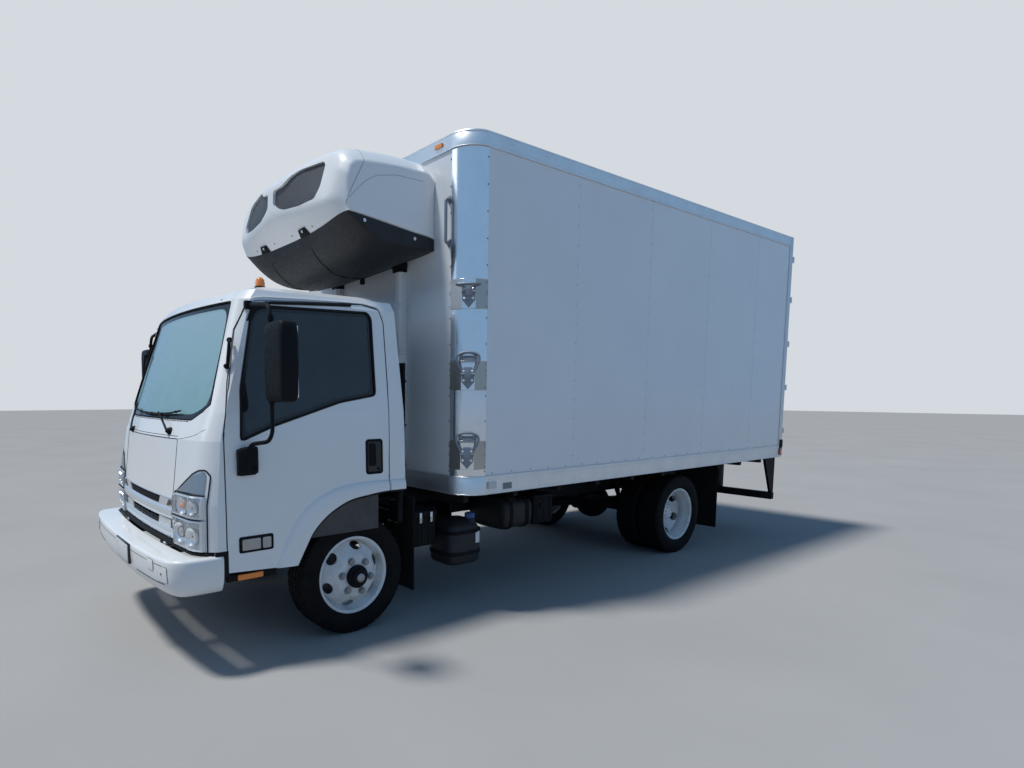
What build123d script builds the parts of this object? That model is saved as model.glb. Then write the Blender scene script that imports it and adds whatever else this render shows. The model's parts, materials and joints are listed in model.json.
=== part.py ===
from build123d import *
import os
from math import cos, radians, sin

os.makedirs("parts", exist_ok=True)

# Refrigerated truck: a tilting low cab over the front axle, an insulated box body with a
# cooling unit on its nose, and twin rear wheels. Millimetres, +Z up, the front faces -Y,
# the driver's side is +X. The origin is on the ground at the middle of the overall box.
# Distances called "y" below count back from the front axle.

# Driving dimensions of the whole truck
wheelbase = 3810
front_overhang = 1315

# Clearances
running_gap = 0.3
seat_gap = 0.3
seam_gap = 8

# Tyres and wheels
tyre_radius = 400
tyre_width = 225
bead_radius = 247
rim_flange_radius = 261
rim_half_width = 86
rim_wall = 9
wheel_offset = 127.5
wheel_disc = 11
disc_flat_radius = 132
front_wheel_x = 833
rear_wheel_x = 825
stud_circle = 111
stud_count = 6
nut_radius = 16
nut_height = 28
hand_hole_circle = 178
hand_hole = (58, 38)
hub_radius = 72
hub_length = 52
hub_cap_radius = 46
drum_radius = 190
spindle_radius = 34
kingpin_x = 700
kingpin_radius = 19

# Chassis frame
rail_x = 425
rail_web = 7
rail_flange = 65
rail_low = 600
rail_top = 790
rail_front = -1000
rail_rear = 5560
crossmember_depth = 85
crossmember_width = 80

# Bumper
bumper_top = 690
bumper_low = 470
shelf = 25
bumper_wall = 22
shelf_rear = -1130
shelf_half = 960
bumper_end_y = -915
extension_top = bumper_top - shelf - seat_gap

# Cab
cab_wall = 50
cab_rear = 370
cab_floor_low = 796
cab_floor = 40
cab_front_low = 715
cab_sill_low = 560
seat_deck = 1100
seat_deck_front = -480
roof_wall = 45
glass = 6
glass_inset = 10
tilt_y = -1075
tilt_z = 685
tilt_pin_radius = 12
tilt_arm = (445, 495)
door_hinge_x = 990
door_hinge_y = -823
door_hinge_heights = (760, 1130)
door_pin_radius = 6

# Box body
box_front = 744
box_rear = 5702
box_half = 1219
rail_skin = 8
rail_wall = 60
box_wall = 75
box_low = 892
wall_out = box_half - rail_skin
wall_in = wall_out - box_wall
bottom_rail_top = 1024
box_floor_top = 1032
top_rail_low = 3288
box_top = 3392
corner_radius = 187
rear_frame_depth = 75
rear_frame_y = box_rear - rear_frame_depth
rear_post = 92
header_low = 3262
door_recess = 6
cargo_hinge_x = 1207
cargo_hinge_out = 45
cargo_hinge_radius = 12
cargo_pin_radius = 5
cargo_hinge_heights = (1200, 1700, 2200, 2700, 3150)

# The rear door hinges are the rearmost points, the bumper's middle is the foremost one
overall_length = front_overhang + box_rear + cargo_hinge_out + cargo_hinge_radius
front_axle_y = front_overhang - overall_length / 2


def side_plane(x=0):
    """Upright plane along the truck: local X runs back from the front axle, local Y up."""
    return Plane(origin=(x, front_axle_y, 0), x_dir=(0, 1, 0), z_dir=(1, 0, 0))


def plan_plane(z=0):
    """Level plane: local X to the driver's side, local Y back from the front axle."""
    return Plane(origin=(0, front_axle_y, z))


def cross_plane(y=0):
    """Upright plane across the truck, facing forward: local Y up."""
    return Plane(origin=(0, front_axle_y + y, 0), x_dir=(1, 0, 0), z_dir=(0, -1, 0))


def axle_plane(x, y, z):
    """Plane across an axle, facing +X, with its origin on the axle."""
    return Plane(origin=(x, front_axle_y + y, z), x_dir=(0, 1, 0), z_dir=(1, 0, 0))


def block(x, y, z, mode=Mode.ADD):
    """Box between two values on each axis."""
    centre = ((x[0] + x[1]) / 2, front_axle_y + (y[0] + y[1]) / 2, (z[0] + z[1]) / 2)
    with Locations(centre):
        Box(x[1] - x[0], y[1] - y[0], z[1] - z[0], mode=mode)


def rod(start, end, radius, mode=Mode.ADD):
    """Round bar between two points given as x, y back from the front axle, z."""
    a = Vector(start[0], front_axle_y + start[1], start[2])
    b = Vector(end[0], front_axle_y + end[1], end[2])
    with Locations(Plane(origin=(a + b) / 2, z_dir=b - a)):
        Cylinder(radius, (b - a).length, mode=mode)


def outline(plane, points, grow=0.0):
    """Flat face on a plane inside straight lines through points, grown by a margin."""
    with BuildSketch(plane) as face:
        with BuildLine():
            Polyline(*points, close=True)
        make_face()
        if grow:
            offset(amount=grow, kind=Kind.INTERSECTION)
    return face.sketch


def keep(piece, name):
    """Labels a finished piece and writes it."""
    piece.label = name
    export_step(piece, f"parts/{name}.step")


def keep_both_sides(piece, name):
    """Writes a left piece and its mirror image on the right."""
    with BuildPart() as right:
        mirror(piece, about=Plane.YZ)
    keep(piece, f"{name}_left")
    keep(right.part, f"{name}_right")


# Tyres and wheels are sections turned about the axle. A section's points are the radius from
# the axle and the distance outboard from the middle of the tyre.
def turn(points, x, y):
    """Ring turned about the axle through x, y."""
    section = Plane(origin=(x, front_axle_y + y, tyre_radius), x_dir=(0, 0, 1), z_dir=(0, 1, 0))
    revolve(outline(section, points), axis=Axis((x, front_axle_y + y, tyre_radius), (1, 0, 0)))


shoulder = 24
bulge_radius = 320
tread_half = tyre_width / 2 - 14
shoulder_half = tyre_width / 2 - 4
bead_half = rim_half_width - 8
tyre_section = (
    (bead_radius, -bead_half),
    (bulge_radius, -tyre_width / 2),
    (tyre_radius - shoulder, -shoulder_half),
    (tyre_radius, -tread_half),
    (tyre_radius, tread_half),
    (tyre_radius - shoulder, shoulder_half),
    (bulge_radius, tyre_width / 2),
    (bead_radius, bead_half),
)
rim_inside = bead_radius - rim_wall
rim_edge = rim_half_width + rim_wall
rim_section = (
    (bead_radius, -rim_half_width),
    (rim_flange_radius, -rim_half_width),
    (rim_flange_radius, -rim_edge),
    (rim_inside, -rim_edge),
    (rim_inside, rim_edge),
    (rim_flange_radius, rim_edge),
    (rim_flange_radius, rim_half_width),
    (bead_radius, rim_half_width),
)
disc_dish = 92
disc_foot = 18


def wheel(x, y, outward):
    """Rim with a disc that is flat at the hub, dished back to the rim, and has hand holes."""
    face = outward * wheel_offset
    seat = face - outward * disc_dish
    turn(rim_section, x, y)
    disc_section = (
        (hub_radius - 6, face),
        (disc_flat_radius, face),
        (rim_inside, seat),
        (rim_inside, seat - outward * disc_foot),
        (disc_flat_radius - 6, face - outward * wheel_disc),
        (hub_radius - 6, face - outward * wheel_disc),
    )
    turn(disc_section, x, y)
    with BuildSketch(axle_plane(x, y, tyre_radius)) as holes:
        with PolarLocations(hand_hole_circle, stud_count, start_angle=30):
            SlotOverall(hand_hole[0], hand_hole[1], rotation=90)
    extrude(holes.sketch, amount=outward * (wheel_offset + wheel_disc), mode=Mode.SUBTRACT)


# The left front wheel. Its disc bulges outboard past the rim.
with BuildPart() as front_tyre:
    turn(tyre_section, front_wheel_x, 0)
keep_both_sides(front_tyre.part, "front_tyre")

front_disc_x = front_wheel_x + wheel_offset
with BuildPart() as front_wheel:
    wheel(front_wheel_x, 0, 1)
    with BuildSketch(axle_plane(front_disc_x, 0, tyre_radius)):
        with PolarLocations(stud_circle, stud_count):
            RegularPolygon(nut_radius, 6)
    extrude(amount=nut_height)
    drum_in = kingpin_x + 60
    rod((drum_in, 0, tyre_radius), (front_disc_x - wheel_disc, 0, tyre_radius), drum_radius * 0.6)
    rod((drum_in, 0, tyre_radius), (drum_in + 45, 0, tyre_radius), drum_radius)
    rod((front_disc_x - wheel_disc, 0, tyre_radius), (front_disc_x + hub_length, 0, tyre_radius), hub_radius)
    cap_x = front_disc_x + hub_length
    rod((cap_x, 0, tyre_radius), (cap_x + 14, 0, tyre_radius), hub_cap_radius)
    bore_end = front_disc_x + 20
    bore = spindle_radius + running_gap
    rod((drum_in - 5, 0, tyre_radius), (bore_end, 0, tyre_radius), bore, Mode.SUBTRACT)
keep_both_sides(front_wheel.part, "front_wheel")

with BuildPart() as knuckle:
    rod((kingpin_x + 40, 0, tyre_radius), (bore_end - 6, 0, tyre_radius), spindle_radius)
    yoke_half = 95
    beam_half = 45
    block((kingpin_x + 32, kingpin_x + 52), (-60, 60), (tyre_radius - yoke_half, tyre_radius + yoke_half))
    for low, high in ((-yoke_half, -beam_half - 1), (beam_half + 1, yoke_half)):
        block((kingpin_x - 34, kingpin_x + 40), (-38, 38), (tyre_radius + low, tyre_radius + high))
    rod((kingpin_x, 0, tyre_radius - yoke_half), (kingpin_x, 0, tyre_radius + yoke_half), kingpin_radius)
    steering_arm_z = (tyre_radius - yoke_half, tyre_radius - beam_half - 20)
    block((kingpin_x - 60, kingpin_x + 30), (30, 60), steering_arm_z)
    block((kingpin_x - 60, kingpin_x - 30), (30, 190), steering_arm_z)
keep_both_sides(knuckle.part, "knuckle")

# Rear twin wheels: the two discs meet back to back at the hub
twin_x = (rear_wheel_x + wheel_offset, rear_wheel_x - wheel_offset)
with BuildPart() as rear_tyres:
    for x in twin_x:
        turn(tyre_section, x, wheelbase)
keep_both_sides(rear_tyres.part, "rear_tyres")

rear_hub_out = 120
with BuildPart() as rear_wheels:
    wheel(twin_x[0], wheelbase, -1)
    wheel(twin_x[1], wheelbase, 1)
    with BuildSketch(axle_plane(rear_wheel_x + wheel_disc, wheelbase, tyre_radius)):
        with PolarLocations(stud_circle, stud_count):
            RegularPolygon(nut_radius, 6)
    extrude(amount=nut_height)
    drum_start = rear_wheel_x - 175
    hub_in = (drum_start, wheelbase, tyre_radius)
    rod(hub_in, (rear_wheel_x - wheel_disc, wheelbase, tyre_radius), drum_radius)
    rod(hub_in, (rear_wheel_x + rear_hub_out, wheelbase, tyre_radius), hub_radius)
    bore_to = (rear_wheel_x + rear_hub_out - 30, wheelbase, tyre_radius)
    rod((drum_start - 5, wheelbase, tyre_radius), bore_to, spindle_radius + running_gap, Mode.SUBTRACT)
keep_both_sides(rear_wheels.part, "rear_wheels")

# Axles. The front beam carries the kingpins; the rear one is a driven axle.
beam_width = 27
with BuildPart() as front_axle:
    beam_z = (tyre_radius - beam_half, tyre_radius + beam_half)
    block((-kingpin_x, kingpin_x), (-beam_width, beam_width), beam_z)
    for side in (1, -1):
        x = side * kingpin_x
        rod((x, 0, tyre_radius - beam_half), (x, 0, tyre_radius + beam_half), beam_width)
        rod((x, 0, tyre_radius - 60), (x, 0, tyre_radius + 60), kingpin_radius + running_gap, Mode.SUBTRACT)
keep(front_axle.part, "front_axle")

axle_tube = 62
pinion_reach = 300
pinion_z = tyre_radius + 20
diff_radius = 190
with BuildPart() as rear_axle:
    tube_end = drum_start - 8
    spindle_end = rear_wheel_x + rear_hub_out - 36
    rod((-tube_end, wheelbase, tyre_radius), (tube_end, wheelbase, tyre_radius), axle_tube)
    rod((-spindle_end, wheelbase, tyre_radius), (spindle_end, wheelbase, tyre_radius), spindle_radius)
    with Locations((0, front_axle_y + wheelbase, tyre_radius)):
        Sphere(diff_radius)
    rod((0, wheelbase - pinion_reach, pinion_z), (0, wheelbase, pinion_z), 80)
keep(rear_axle.part, "rear_axle")

# Leaf springs: two at the front, two at the rear, each a curved pack with eyes at its ends
leaf = 13
spring_width = 70
eye_radius = 28
spring_x = 425
spring_table = (
    # axle y, seat height on the axle, half length, eye height, leaves
    (0, tyre_radius + beam_half, 640, 566, 3),
    (wheelbase, tyre_radius + axle_tube, 640, 566, 4),
)
with BuildPart() as leaf_springs:
    for axle_y, seat, half, eye_z, leaves in spring_table:
        for side in (1, -1):
            with BuildSketch(side_plane(side * spring_x - spring_width / 2)):
                for i in range(leaves):
                    reach = half * (1 - 0.22 * i)
                    low = seat + leaf * (leaves - 1 - i)
                    rise = (eye_z - seat - leaf * leaves / 2) * (reach / half) ** 2
                    with BuildLine():
                        a = ThreePointArc(
                            (axle_y - reach, low + rise), (axle_y, low), (axle_y + reach, low + rise)
                        )
                        b = ThreePointArc(
                            (axle_y - reach, low + rise + leaf),
                            (axle_y, low + leaf),
                            (axle_y + reach, low + rise + leaf),
                        )
                        Line(a @ 0, b @ 0)
                        Line(a @ 1, b @ 1)
                    make_face()
                with Locations((axle_y - half, eye_z), (axle_y + half, eye_z)):
                    Circle(eye_radius)
            extrude(amount=spring_width)
keep(leaf_springs.part, "leaf_springs")

# Frame: two channel rails, crossmembers, spring hangers, bumper and tilt brackets
crossmember_table = (-960, -560, 1330, 2250, 3000, 4700, 5500)
hanger = 60
with BuildPart() as frame_rails:
    for side in (1, -1):
        web = sorted((side * rail_x, side * (rail_x - rail_web)))
        flange = sorted((side * rail_x, side * (rail_x - rail_flange)))
        block(web, (rail_front, rail_rear), (rail_low, rail_top))
        block(flange, (rail_front, rail_rear), (rail_low, rail_low + rail_web))
        block(flange, (rail_front, rail_rear), (rail_top - rail_web, rail_top))
        # bumper extension and the boss of the cab's tilt pin
        block(flange, (-front_overhang + 46, rail_front), (rail_low, extension_top))
        block(flange, (rail_front - 12, rail_front), (rail_low, rail_top))
        boss = sorted((side * (rail_x - 30), side * (tilt_arm[0] - 8)))
        block(boss, (tilt_y - 28, tilt_y + 28), (extension_top - 20, tilt_z + tilt_pin_radius + 1))
        pin_start = (side * (rail_x - 20), tilt_y, tilt_z)
        pin_end = (side * (tilt_arm[1] + 20), tilt_y, tilt_z)
        rod(pin_start, pin_end, tilt_pin_radius)
        # posts that the back of the cab rests on
        post = sorted((side * (rail_x - 55), side * rail_x))
        block(post, (cab_rear - 45, cab_rear - 5), (rail_top, 966 - seat_gap))
        # spring hangers
        for axle_y, seat, half, eye_z, leaves in spring_table:
            for end in (-1, 1):
                y = axle_y + end * half
                inner = side * (spring_x - spring_width / 2 - 8)
                outer = side * (spring_x + spring_width / 2 + 8)
                hanger_low = eye_z + eye_radius + seat_gap
                block(sorted((inner, outer)), (y - hanger / 2, y + hanger / 2), (hanger_low, rail_low))
    for y in crossmember_table:
        z = (rail_top - rail_web - seat_gap - crossmember_depth, rail_top - rail_web - seat_gap)
        half = rail_x - rail_web - seat_gap
        block((-half, half), (y - crossmember_width / 2, y + crossmember_width / 2), z)
keep(frame_rails.part, "frame_rails")

# Long sills and cross sills that carry the box on the rails
sill_table = (820, 1330, 1840, 2350, 2860, 3370, 4430, 4900, 5380)
cross_sill = (box_low - 55, box_low)
with BuildPart() as box_sills:
    for side in (1, -1):
        sill = sorted((side * (rail_x - rail_flange), side * rail_x))
        block(sill, (box_front + 20, rear_frame_y), (rail_top, cross_sill[0] - seat_gap))
    for y in sill_table:
        block((-wall_in, wall_in), (y - 25, y + 25), cross_sill)
keep(box_sills.part, "box_sills")

# Engine with its gearbox: one plain stepped block, and the shaft to the rear axle
engine = ((-270, 270), (-380, 300), (520, 1000))
gearbox = ((-160, 160), (300, 1050), (520, 680))
with BuildPart() as engine_block:
    block(*engine)
    block(*gearbox)
keep(engine_block.part, "engine_block")

shaft_radius = 45
with BuildPart() as driveshaft:
    shaft_start = gearbox[1][1] + 4
    shaft_end = wheelbase - pinion_reach - 4
    rod((0, shaft_start, 600), (0, shaft_end, pinion_z), shaft_radius)
keep(driveshaft.part, "driveshaft")

# Side equipment below the frame
with BuildPart() as side_tanks:
    block((rail_x + seat_gap, 900), (1460, 2080), (490, 760))
    block((rail_x + 200, 960), (800, 1180), (305, 660))
    block((rail_x + seat_gap, rail_x + 220), (900, 1080), (620, 700))
    rod((880, 1110, 655), (880, 1110, 700), 38)
keep(side_tanks.part, "side_tanks")

with BuildPart() as battery_box:
    block((475, 860), (560, 780), (480, 760))
    block((rail_x + seat_gap, 475), (700, 780), (640, 760))
keep(battery_box.part, "battery_box")

with BuildPart() as muffler:
    rod((-640, 900, 590), (-640, 1800, 590), 140)
    rod((-640, 1800, 590), (-640, 3150, 590), 45)
    for y in (1000, 1700):
        block((-560, -rail_x - seat_gap), (y - 20, y + 20), (640, 780))
keep(muffler.part, "muffler")

# Bumper: a deep curved face with a wide flat shelf on top
bumper_table = (
    # z, forward inset
    (bumper_low, 88),
    (560, 6),
    (bumper_top - shelf, 0),
    (bumper_top, 6),
)


def bumper_outline(inset):
    """Plan outline of the bumper's face, from its left end round to its right end."""
    front = -front_overhang + inset
    Polyline((1018 - inset / 3, bumper_end_y), (1046 - inset / 3, -1150 + inset))
    ThreePointArc(
        (1046 - inset / 3, -1150 + inset), (1010 - inset / 3, -1228 + inset), (900 - inset / 3, front + 52)
    )
    ThreePointArc((900 - inset / 3, front + 52), (0, front), (inset / 3 - 900, front + 52))
    ThreePointArc(
        (inset / 3 - 900, front + 52), (inset / 3 - 1010, -1228 + inset), (inset / 3 - 1046, -1150 + inset)
    )
    Polyline((inset / 3 - 1046, -1150 + inset), (inset / 3 - 1018, bumper_end_y))


with BuildPart() as bumper:
    for z, inset in bumper_table:
        with BuildSketch(plan_plane(z)):
            with BuildLine():
                bumper_outline(inset)
                Line((1018 - inset / 3, bumper_end_y), (inset / 3 - 1018, bumper_end_y))
            make_face()
    loft(ruled=True)
    for z, inset in bumper_table[:3]:
        with BuildSketch(plan_plane(z)):
            with BuildLine():
                bumper_outline(inset + bumper_wall)
                end_x = 1018 - (inset + bumper_wall) / 3
                Line((end_x, bumper_end_y), (-end_x, bumper_end_y))
            make_face()
    loft(ruled=True, mode=Mode.SUBTRACT)
    shelf_cut = (bumper_top - shelf - 1, bumper_top + 5)
    block((-shelf_half, shelf_half), (shelf_rear, bumper_end_y + 50), shelf_cut, Mode.SUBTRACT)
keep(bumper.part, "bumper")

# Cab body: a hollow shell from level sections joined by straight skins
cab_sections = (
    # z, front middle, corner x, corner front, half width, side start, rear
    (cab_sill_low, -1085, 830, -1050, 1010, -950, cab_rear),
    (980, -1100, 830, -1055, 1010, -945, cab_rear),
    (1341, -1078, 820, -1000, 1000, -915, cab_rear),
    (1500, -1020, 812, -945, 988, -880, cab_rear),
    (2167, -815, 762, -740, 898, -680, cab_rear - 15),
    (2228, -765, 735, -690, 870, -630, cab_rear - 30),
    (2262, -640, 640, -590, 780, -540, cab_rear - 120),
)


def cab_body(inset, roof=0):
    """The cab's outer form, or the same form set in by a wall."""
    with BuildPart() as body:
        for z, front, corner_x, corner_y, half, side_y, back in cab_sections:
            x = corner_x - 0.9 * inset
            y = corner_y + inset
            w = half - inset
            s = side_y + 0.4 * inset
            rear = back - inset
            via = (x + 0.68 * (w - x), y + 0.36 * (s - y))
            with BuildSketch(plan_plane(z - roof * (z > 2000))):
                with BuildLine():
                    ThreePointArc((-x, y), (0, front + inset), (x, y))
                    ThreePointArc((x, y), via, (w, s))
                    Polyline((w, s), (w, rear), (-w, rear), (-w, s))
                    ThreePointArc((-w, s), (-via[0], via[1]), (-x, y))
                make_face()
        loft(ruled=True)
    return body.part


cab_outer = cab_body(0)
cab_inner = cab_body(cab_wall, roof_wall)
glass_outer = cab_body(glass_inset)
glass_inner = cab_body(glass_inset + glass)

with BuildPart() as cab_skin:
    add(cab_outer)
    add(cab_inner, mode=Mode.SUBTRACT)
with BuildPart() as glass_skin:
    add(glass_outer)
    add(glass_inner, mode=Mode.SUBTRACT)

door_outline = (
    (-893, 584), (-893, 1379), (-843, 1671), (-769, 1982), (-706, 2112), (-663, 2140), (96, 2196),
    (222, 2170), (252, 2090), (247, 1653), (230, 962), (-114, 932), (-321, 796), (-456, 561),
)
window_outline = (
    (-795, 1341), (-778, 1640), (-685, 2056), (-640, 2110), (-591, 2128), (135, 2146), (160, 2110),
    (148, 1605), (-127, 1560), (-587, 1423),
)
arch_outline = ((-456, 500), (-456, 561), (-321, 796), (-114, 932), (229, 966), (500, 966), (500, 500))


def side_prism(points, x_in, x_out, grow=0.0, mode=Mode.ADD):
    """Prism across the driver's side through an outline given as y, z."""
    extrude(outline(side_plane(x_in), points, grow), amount=x_out - x_in, mode=mode)


prism_in = 700
prism_out = 1100
hinge_half = 14
pin_half = 32
link_half = 8
link_x = (902, 914)
pillar_foot = ((945, 980), (-960, -907))
link_front = -921
with BuildPart() as door:
    side_prism(door_outline, prism_in, prism_out)
    add(cab_skin.part, mode=Mode.INTERSECT)
    side_prism(window_outline, prism_in, prism_out, mode=Mode.SUBTRACT)
    pin_xy = (door_hinge_x, door_hinge_y)
    for z in door_hinge_heights:
        pocket = (z - hinge_half - 2, z + hinge_half + 2)
        block((950, door_hinge_x + link_half + 3), (-910, door_hinge_y + 16), pocket, Mode.SUBTRACT)
        bore = door_pin_radius + running_gap
        rod((*pin_xy, z - pin_half - 2), (*pin_xy, z + pin_half + 2), bore, Mode.SUBTRACT)
keep_both_sides(door.part, "door")

with BuildPart() as door_glass:
    side_prism(window_outline, prism_in, prism_out)
    add(glass_skin.part, mode=Mode.INTERSECT)
keep_both_sides(door_glass.part, "door_glass")

# Mirror: a tall head on a bent tube from the door's foot bracket up to the window's top
mirror_head = ((1205, 1420), (-735, -635), (1582, 1990))
mirror_edge = 30
mirror_arm = 13
mirror_foot = ((980, 1040), (-823, -706), (1138, 1300))
mirror_points = (
    (1025, -765, 1270), (1060, -760, 1325), (1190, -710, 1345), (1221, -700, 1395), (1221, -700, 2040),
    (1190, -698, 2095), (1060, -694, 2112), (895, -690, 2128),
)
with BuildPart() as door_mirror:
    block(*mirror_foot)
    for a, b in zip(mirror_points, mirror_points[1:]):
        rod(a, b, mirror_arm)
    for p in mirror_points[1:-1]:
        with Locations((p[0], front_axle_y + p[1], p[2])):
            Sphere(mirror_arm + 1)
    with BuildPart(mode=Mode.PRIVATE) as head:
        block(*mirror_head)
        fillet(head.edges().filter_by(Axis.Z), mirror_edge)
    add(head.part)
    add(cab_outer, mode=Mode.SUBTRACT)
keep_both_sides(door_mirror.part, "mirror")

# Cab front pieces and glass, cut from the same skin by outlines given as x, z
panel_x = 606
panel_low = 979
panel_top = 1341
grille_x = 628
lamp_outline = ((640, 735), (940, 735), (940, 1165), (880, 1150), (800, 1090), (690, 985), (645, 975))
screen_outline = ((-700, 1455), (700, 1455), (880, 1545), (768, 2160), (-768, 2160), (-880, 1545))
rear_window = ((-620, 620), (1480, 1960))


def front_prism(points, y_in, y_out, mode=Mode.ADD):
    """Prism along the truck through an outline given as x, z."""
    extrude(outline(cross_plane(y_in), points), amount=y_in - y_out, mode=mode)


front_reach = -1200
panel_outline = ((-panel_x, panel_low), (panel_x, panel_low), (panel_x, panel_top), (-panel_x, panel_top))
grille_outline = (
    (-grille_x, cab_front_low), (grille_x, cab_front_low), (grille_x, panel_low), (-grille_x, panel_low)
)
with BuildPart() as front_panel:
    front_prism(panel_outline, -900, front_reach)
    add(cab_skin.part, mode=Mode.INTERSECT)
keep(front_panel.part, "front_panel")

grille_slots = (
    # low, high, half width
    (770, 815, 430),
    (865, 935, 470),
)
with BuildPart() as grille:
    front_prism(grille_outline, -900, front_reach)
    add(cab_skin.part, mode=Mode.INTERSECT)
    for low, high, half in grille_slots:
        block((-half, half), (front_reach, -900), (low, high), Mode.SUBTRACT)
keep(grille.part, "grille")

with BuildPart() as headlamps:
    front_prism(lamp_outline, -900, front_reach)
    front_prism([(-x, z) for x, z in lamp_outline], -900, front_reach)
    add(cab_skin.part, mode=Mode.INTERSECT)
keep(headlamps.part, "headlamps")

with BuildPart() as cab_glass:
    front_prism(screen_outline, -600, front_reach)
    block(rear_window[0], (200, 500), rear_window[1])
    add(glass_skin.part, mode=Mode.INTERSECT)
keep(cab_glass.part, "cab_glass")

# Cab floor and seat deck, with the step wells at the doors
step_x = (720, 900)
floor_half = 900
with BuildPart() as cab_floor_plate:
    deck_low = seat_deck - cab_floor
    step_y = seat_deck_front + cab_floor
    floor_top = cab_floor_low + cab_floor
    floor_outline = (
        (-1050, cab_floor_low),
        (step_y, cab_floor_low),
        (step_y, deck_low),
        (cab_rear - 20, deck_low),
        (cab_rear - 20, seat_deck),
        (seat_deck_front, seat_deck),
        (seat_deck_front, floor_top),
        (-1050, floor_top),
    )
    side_prism(floor_outline, -floor_half, floor_half)
    add(cab_inner, mode=Mode.INTERSECT)

with BuildPart() as cab_shell:
    add(cab_skin.part)
    side_prism(door_outline, prism_in, prism_out, seam_gap, Mode.SUBTRACT)
    side_prism(door_outline, -prism_out, -prism_in, seam_gap, Mode.SUBTRACT)
    front_prism(panel_outline, -900, front_reach, Mode.SUBTRACT)
    front_prism(grille_outline, -900, front_reach, Mode.SUBTRACT)
    front_prism(lamp_outline, -900, front_reach, Mode.SUBTRACT)
    front_prism([(-x, z) for x, z in lamp_outline], -900, front_reach, Mode.SUBTRACT)
    front_prism(screen_outline, -600, front_reach, Mode.SUBTRACT)
    block(rear_window[0], (200, 500), rear_window[1], Mode.SUBTRACT)
    block((-1100, 1100), (-1200, -899), (500, cab_front_low), Mode.SUBTRACT)
    block((-1100, 1100), (-1200, -400), (500, 600), Mode.SUBTRACT)
    side_prism(arch_outline, -prism_out, prism_out, mode=Mode.SUBTRACT)
    add(cab_floor_plate.part)
    for side in (1, -1):
        well = sorted((side * step_x[0], side * step_x[1]))
        riser = sorted((side * step_x[0], side * (step_x[0] + 15)))
        block(well, (-870, -500), (585, 600))
        block(riser, (-870, -500), (585, cab_floor_low))
        for y in (-870, -515):
            block(well, (y, y + 15), (585, cab_floor_low))
        # door hinge links, bent round the sweep of the door's front edge, with their pins
        for z in door_hinge_heights:
            level = (z - hinge_half, z + hinge_half)
            pin = (side * door_hinge_x, door_hinge_y)
            reach = (door_hinge_y - link_half, door_hinge_y + link_half)
            block(sorted((side * pillar_foot[0][0], side * pillar_foot[0][1])), pillar_foot[1], level)
            link_root = sorted((side * link_x[0], side * pillar_foot[0][1]))
            block(link_root, (link_front, pillar_foot[1][1]), level)
            block(sorted((side * link_x[0], side * link_x[1])), (link_front, reach[1]), level)
            block(sorted((side * link_x[0], side * door_hinge_x)), reach, level)
            rod((*pin, level[0]), (*pin, level[1]), link_half)
            rod((*pin, z - pin_half), (*pin, z + pin_half), door_pin_radius)
        # tilt arms
        arm = sorted((side * tilt_arm[0], side * tilt_arm[1]))
        rod((arm[0], tilt_y, tilt_z), (arm[1], tilt_y, tilt_z), 25)
        block(arm, (tilt_y, -965), (tilt_z - 20, tilt_z + 22))
        block(arm, (-1015, -965), (tilt_z - 20, cab_floor_low))
        bore = tilt_pin_radius + running_gap
        rod((arm[0] - 5, tilt_y, tilt_z), (arm[1] + 5, tilt_y, tilt_z), bore, Mode.SUBTRACT)
keep(cab_shell.part, "cab_shell")

# Cab interior
with BuildPart() as seats:
    for x0, x1 in ((180, 680), (-680, -180), (-150, 150)):
        block((x0, x1), (seat_deck_front + 10, 40 - seat_gap), (seat_deck + seat_gap, seat_deck + 140))
        block((x0, x1), (40, 190), (seat_deck + seat_gap, 1820))
keep(seats.part, "seats")

wheel_centre = (430, -560, 1410)
column_lean = radians(38)
column_radius = 30
column_length = (wheel_centre[2] - cab_floor_low - cab_floor - 30) / cos(column_lean)
column_foot = (430, wheel_centre[1] - column_length * sin(column_lean), cab_floor_low + cab_floor + 30)
with BuildPart() as dashboard:
    block((-895, 895), (-990, -680), (1120, 1400))
    add(cab_inner, mode=Mode.INTERSECT)
    rod(wheel_centre, column_foot, column_radius + running_gap, Mode.SUBTRACT)
keep(dashboard.part, "dashboard")

with BuildPart() as steering_wheel:
    tilted = Plane(
        origin=(wheel_centre[0], front_axle_y + wheel_centre[1], wheel_centre[2]),
        z_dir=(0, sin(column_lean), cos(column_lean)),
    )
    with Locations(tilted):
        Torus(205, 15)
        Cylinder(55, 40)
        Box(400, 36, 14)
    rod(wheel_centre, column_foot, column_radius)
keep(steering_wheel.part, "steering_wheel")

with BuildPart() as cab_lamps:
    for x in (-600, -160, 0, 160, 600):
        block((x - 45, x + 45), (-570, -530), (2262 + seat_gap, 2300))
keep(cab_lamps.part, "cab_lamps")

# Box body: insulated panels between corner posts, rails and a rear portal
post_y = box_front + corner_radius
post_x = box_half - corner_radius
skin_front = box_front + rail_skin


def nose_form(inset, z, back, mode=Mode.ADD):
    """Solid with the plan outline of the box's sides and nose, with round front corners."""
    out = box_half - inset
    front = box_front + inset
    radius = corner_radius - inset
    c = radius * (1 - cos(radians(45)))
    with BuildSketch(plan_plane(z[0])) as form:
        with BuildLine():
            Polyline((radius - out, front), (out - radius, front))
            ThreePointArc((out - radius, front), (out - c, front + c), (out, front + radius))
            Polyline((out, front + radius), (out, back), (-out, back), (-out, front + radius))
            ThreePointArc((-out, front + radius), (c - out, front + c), (radius - out, front))
        make_face()
    extrude(form.sketch, amount=z[1] - z[0], mode=mode)


def nose_ring(inset, wall, z, back):
    """Band round the sides and nose, between two insets and two heights."""
    with BuildPart() as ring:
        nose_form(inset, z, back)
        nose_form(inset + wall, z, back, Mode.SUBTRACT)
    return ring.part


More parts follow.
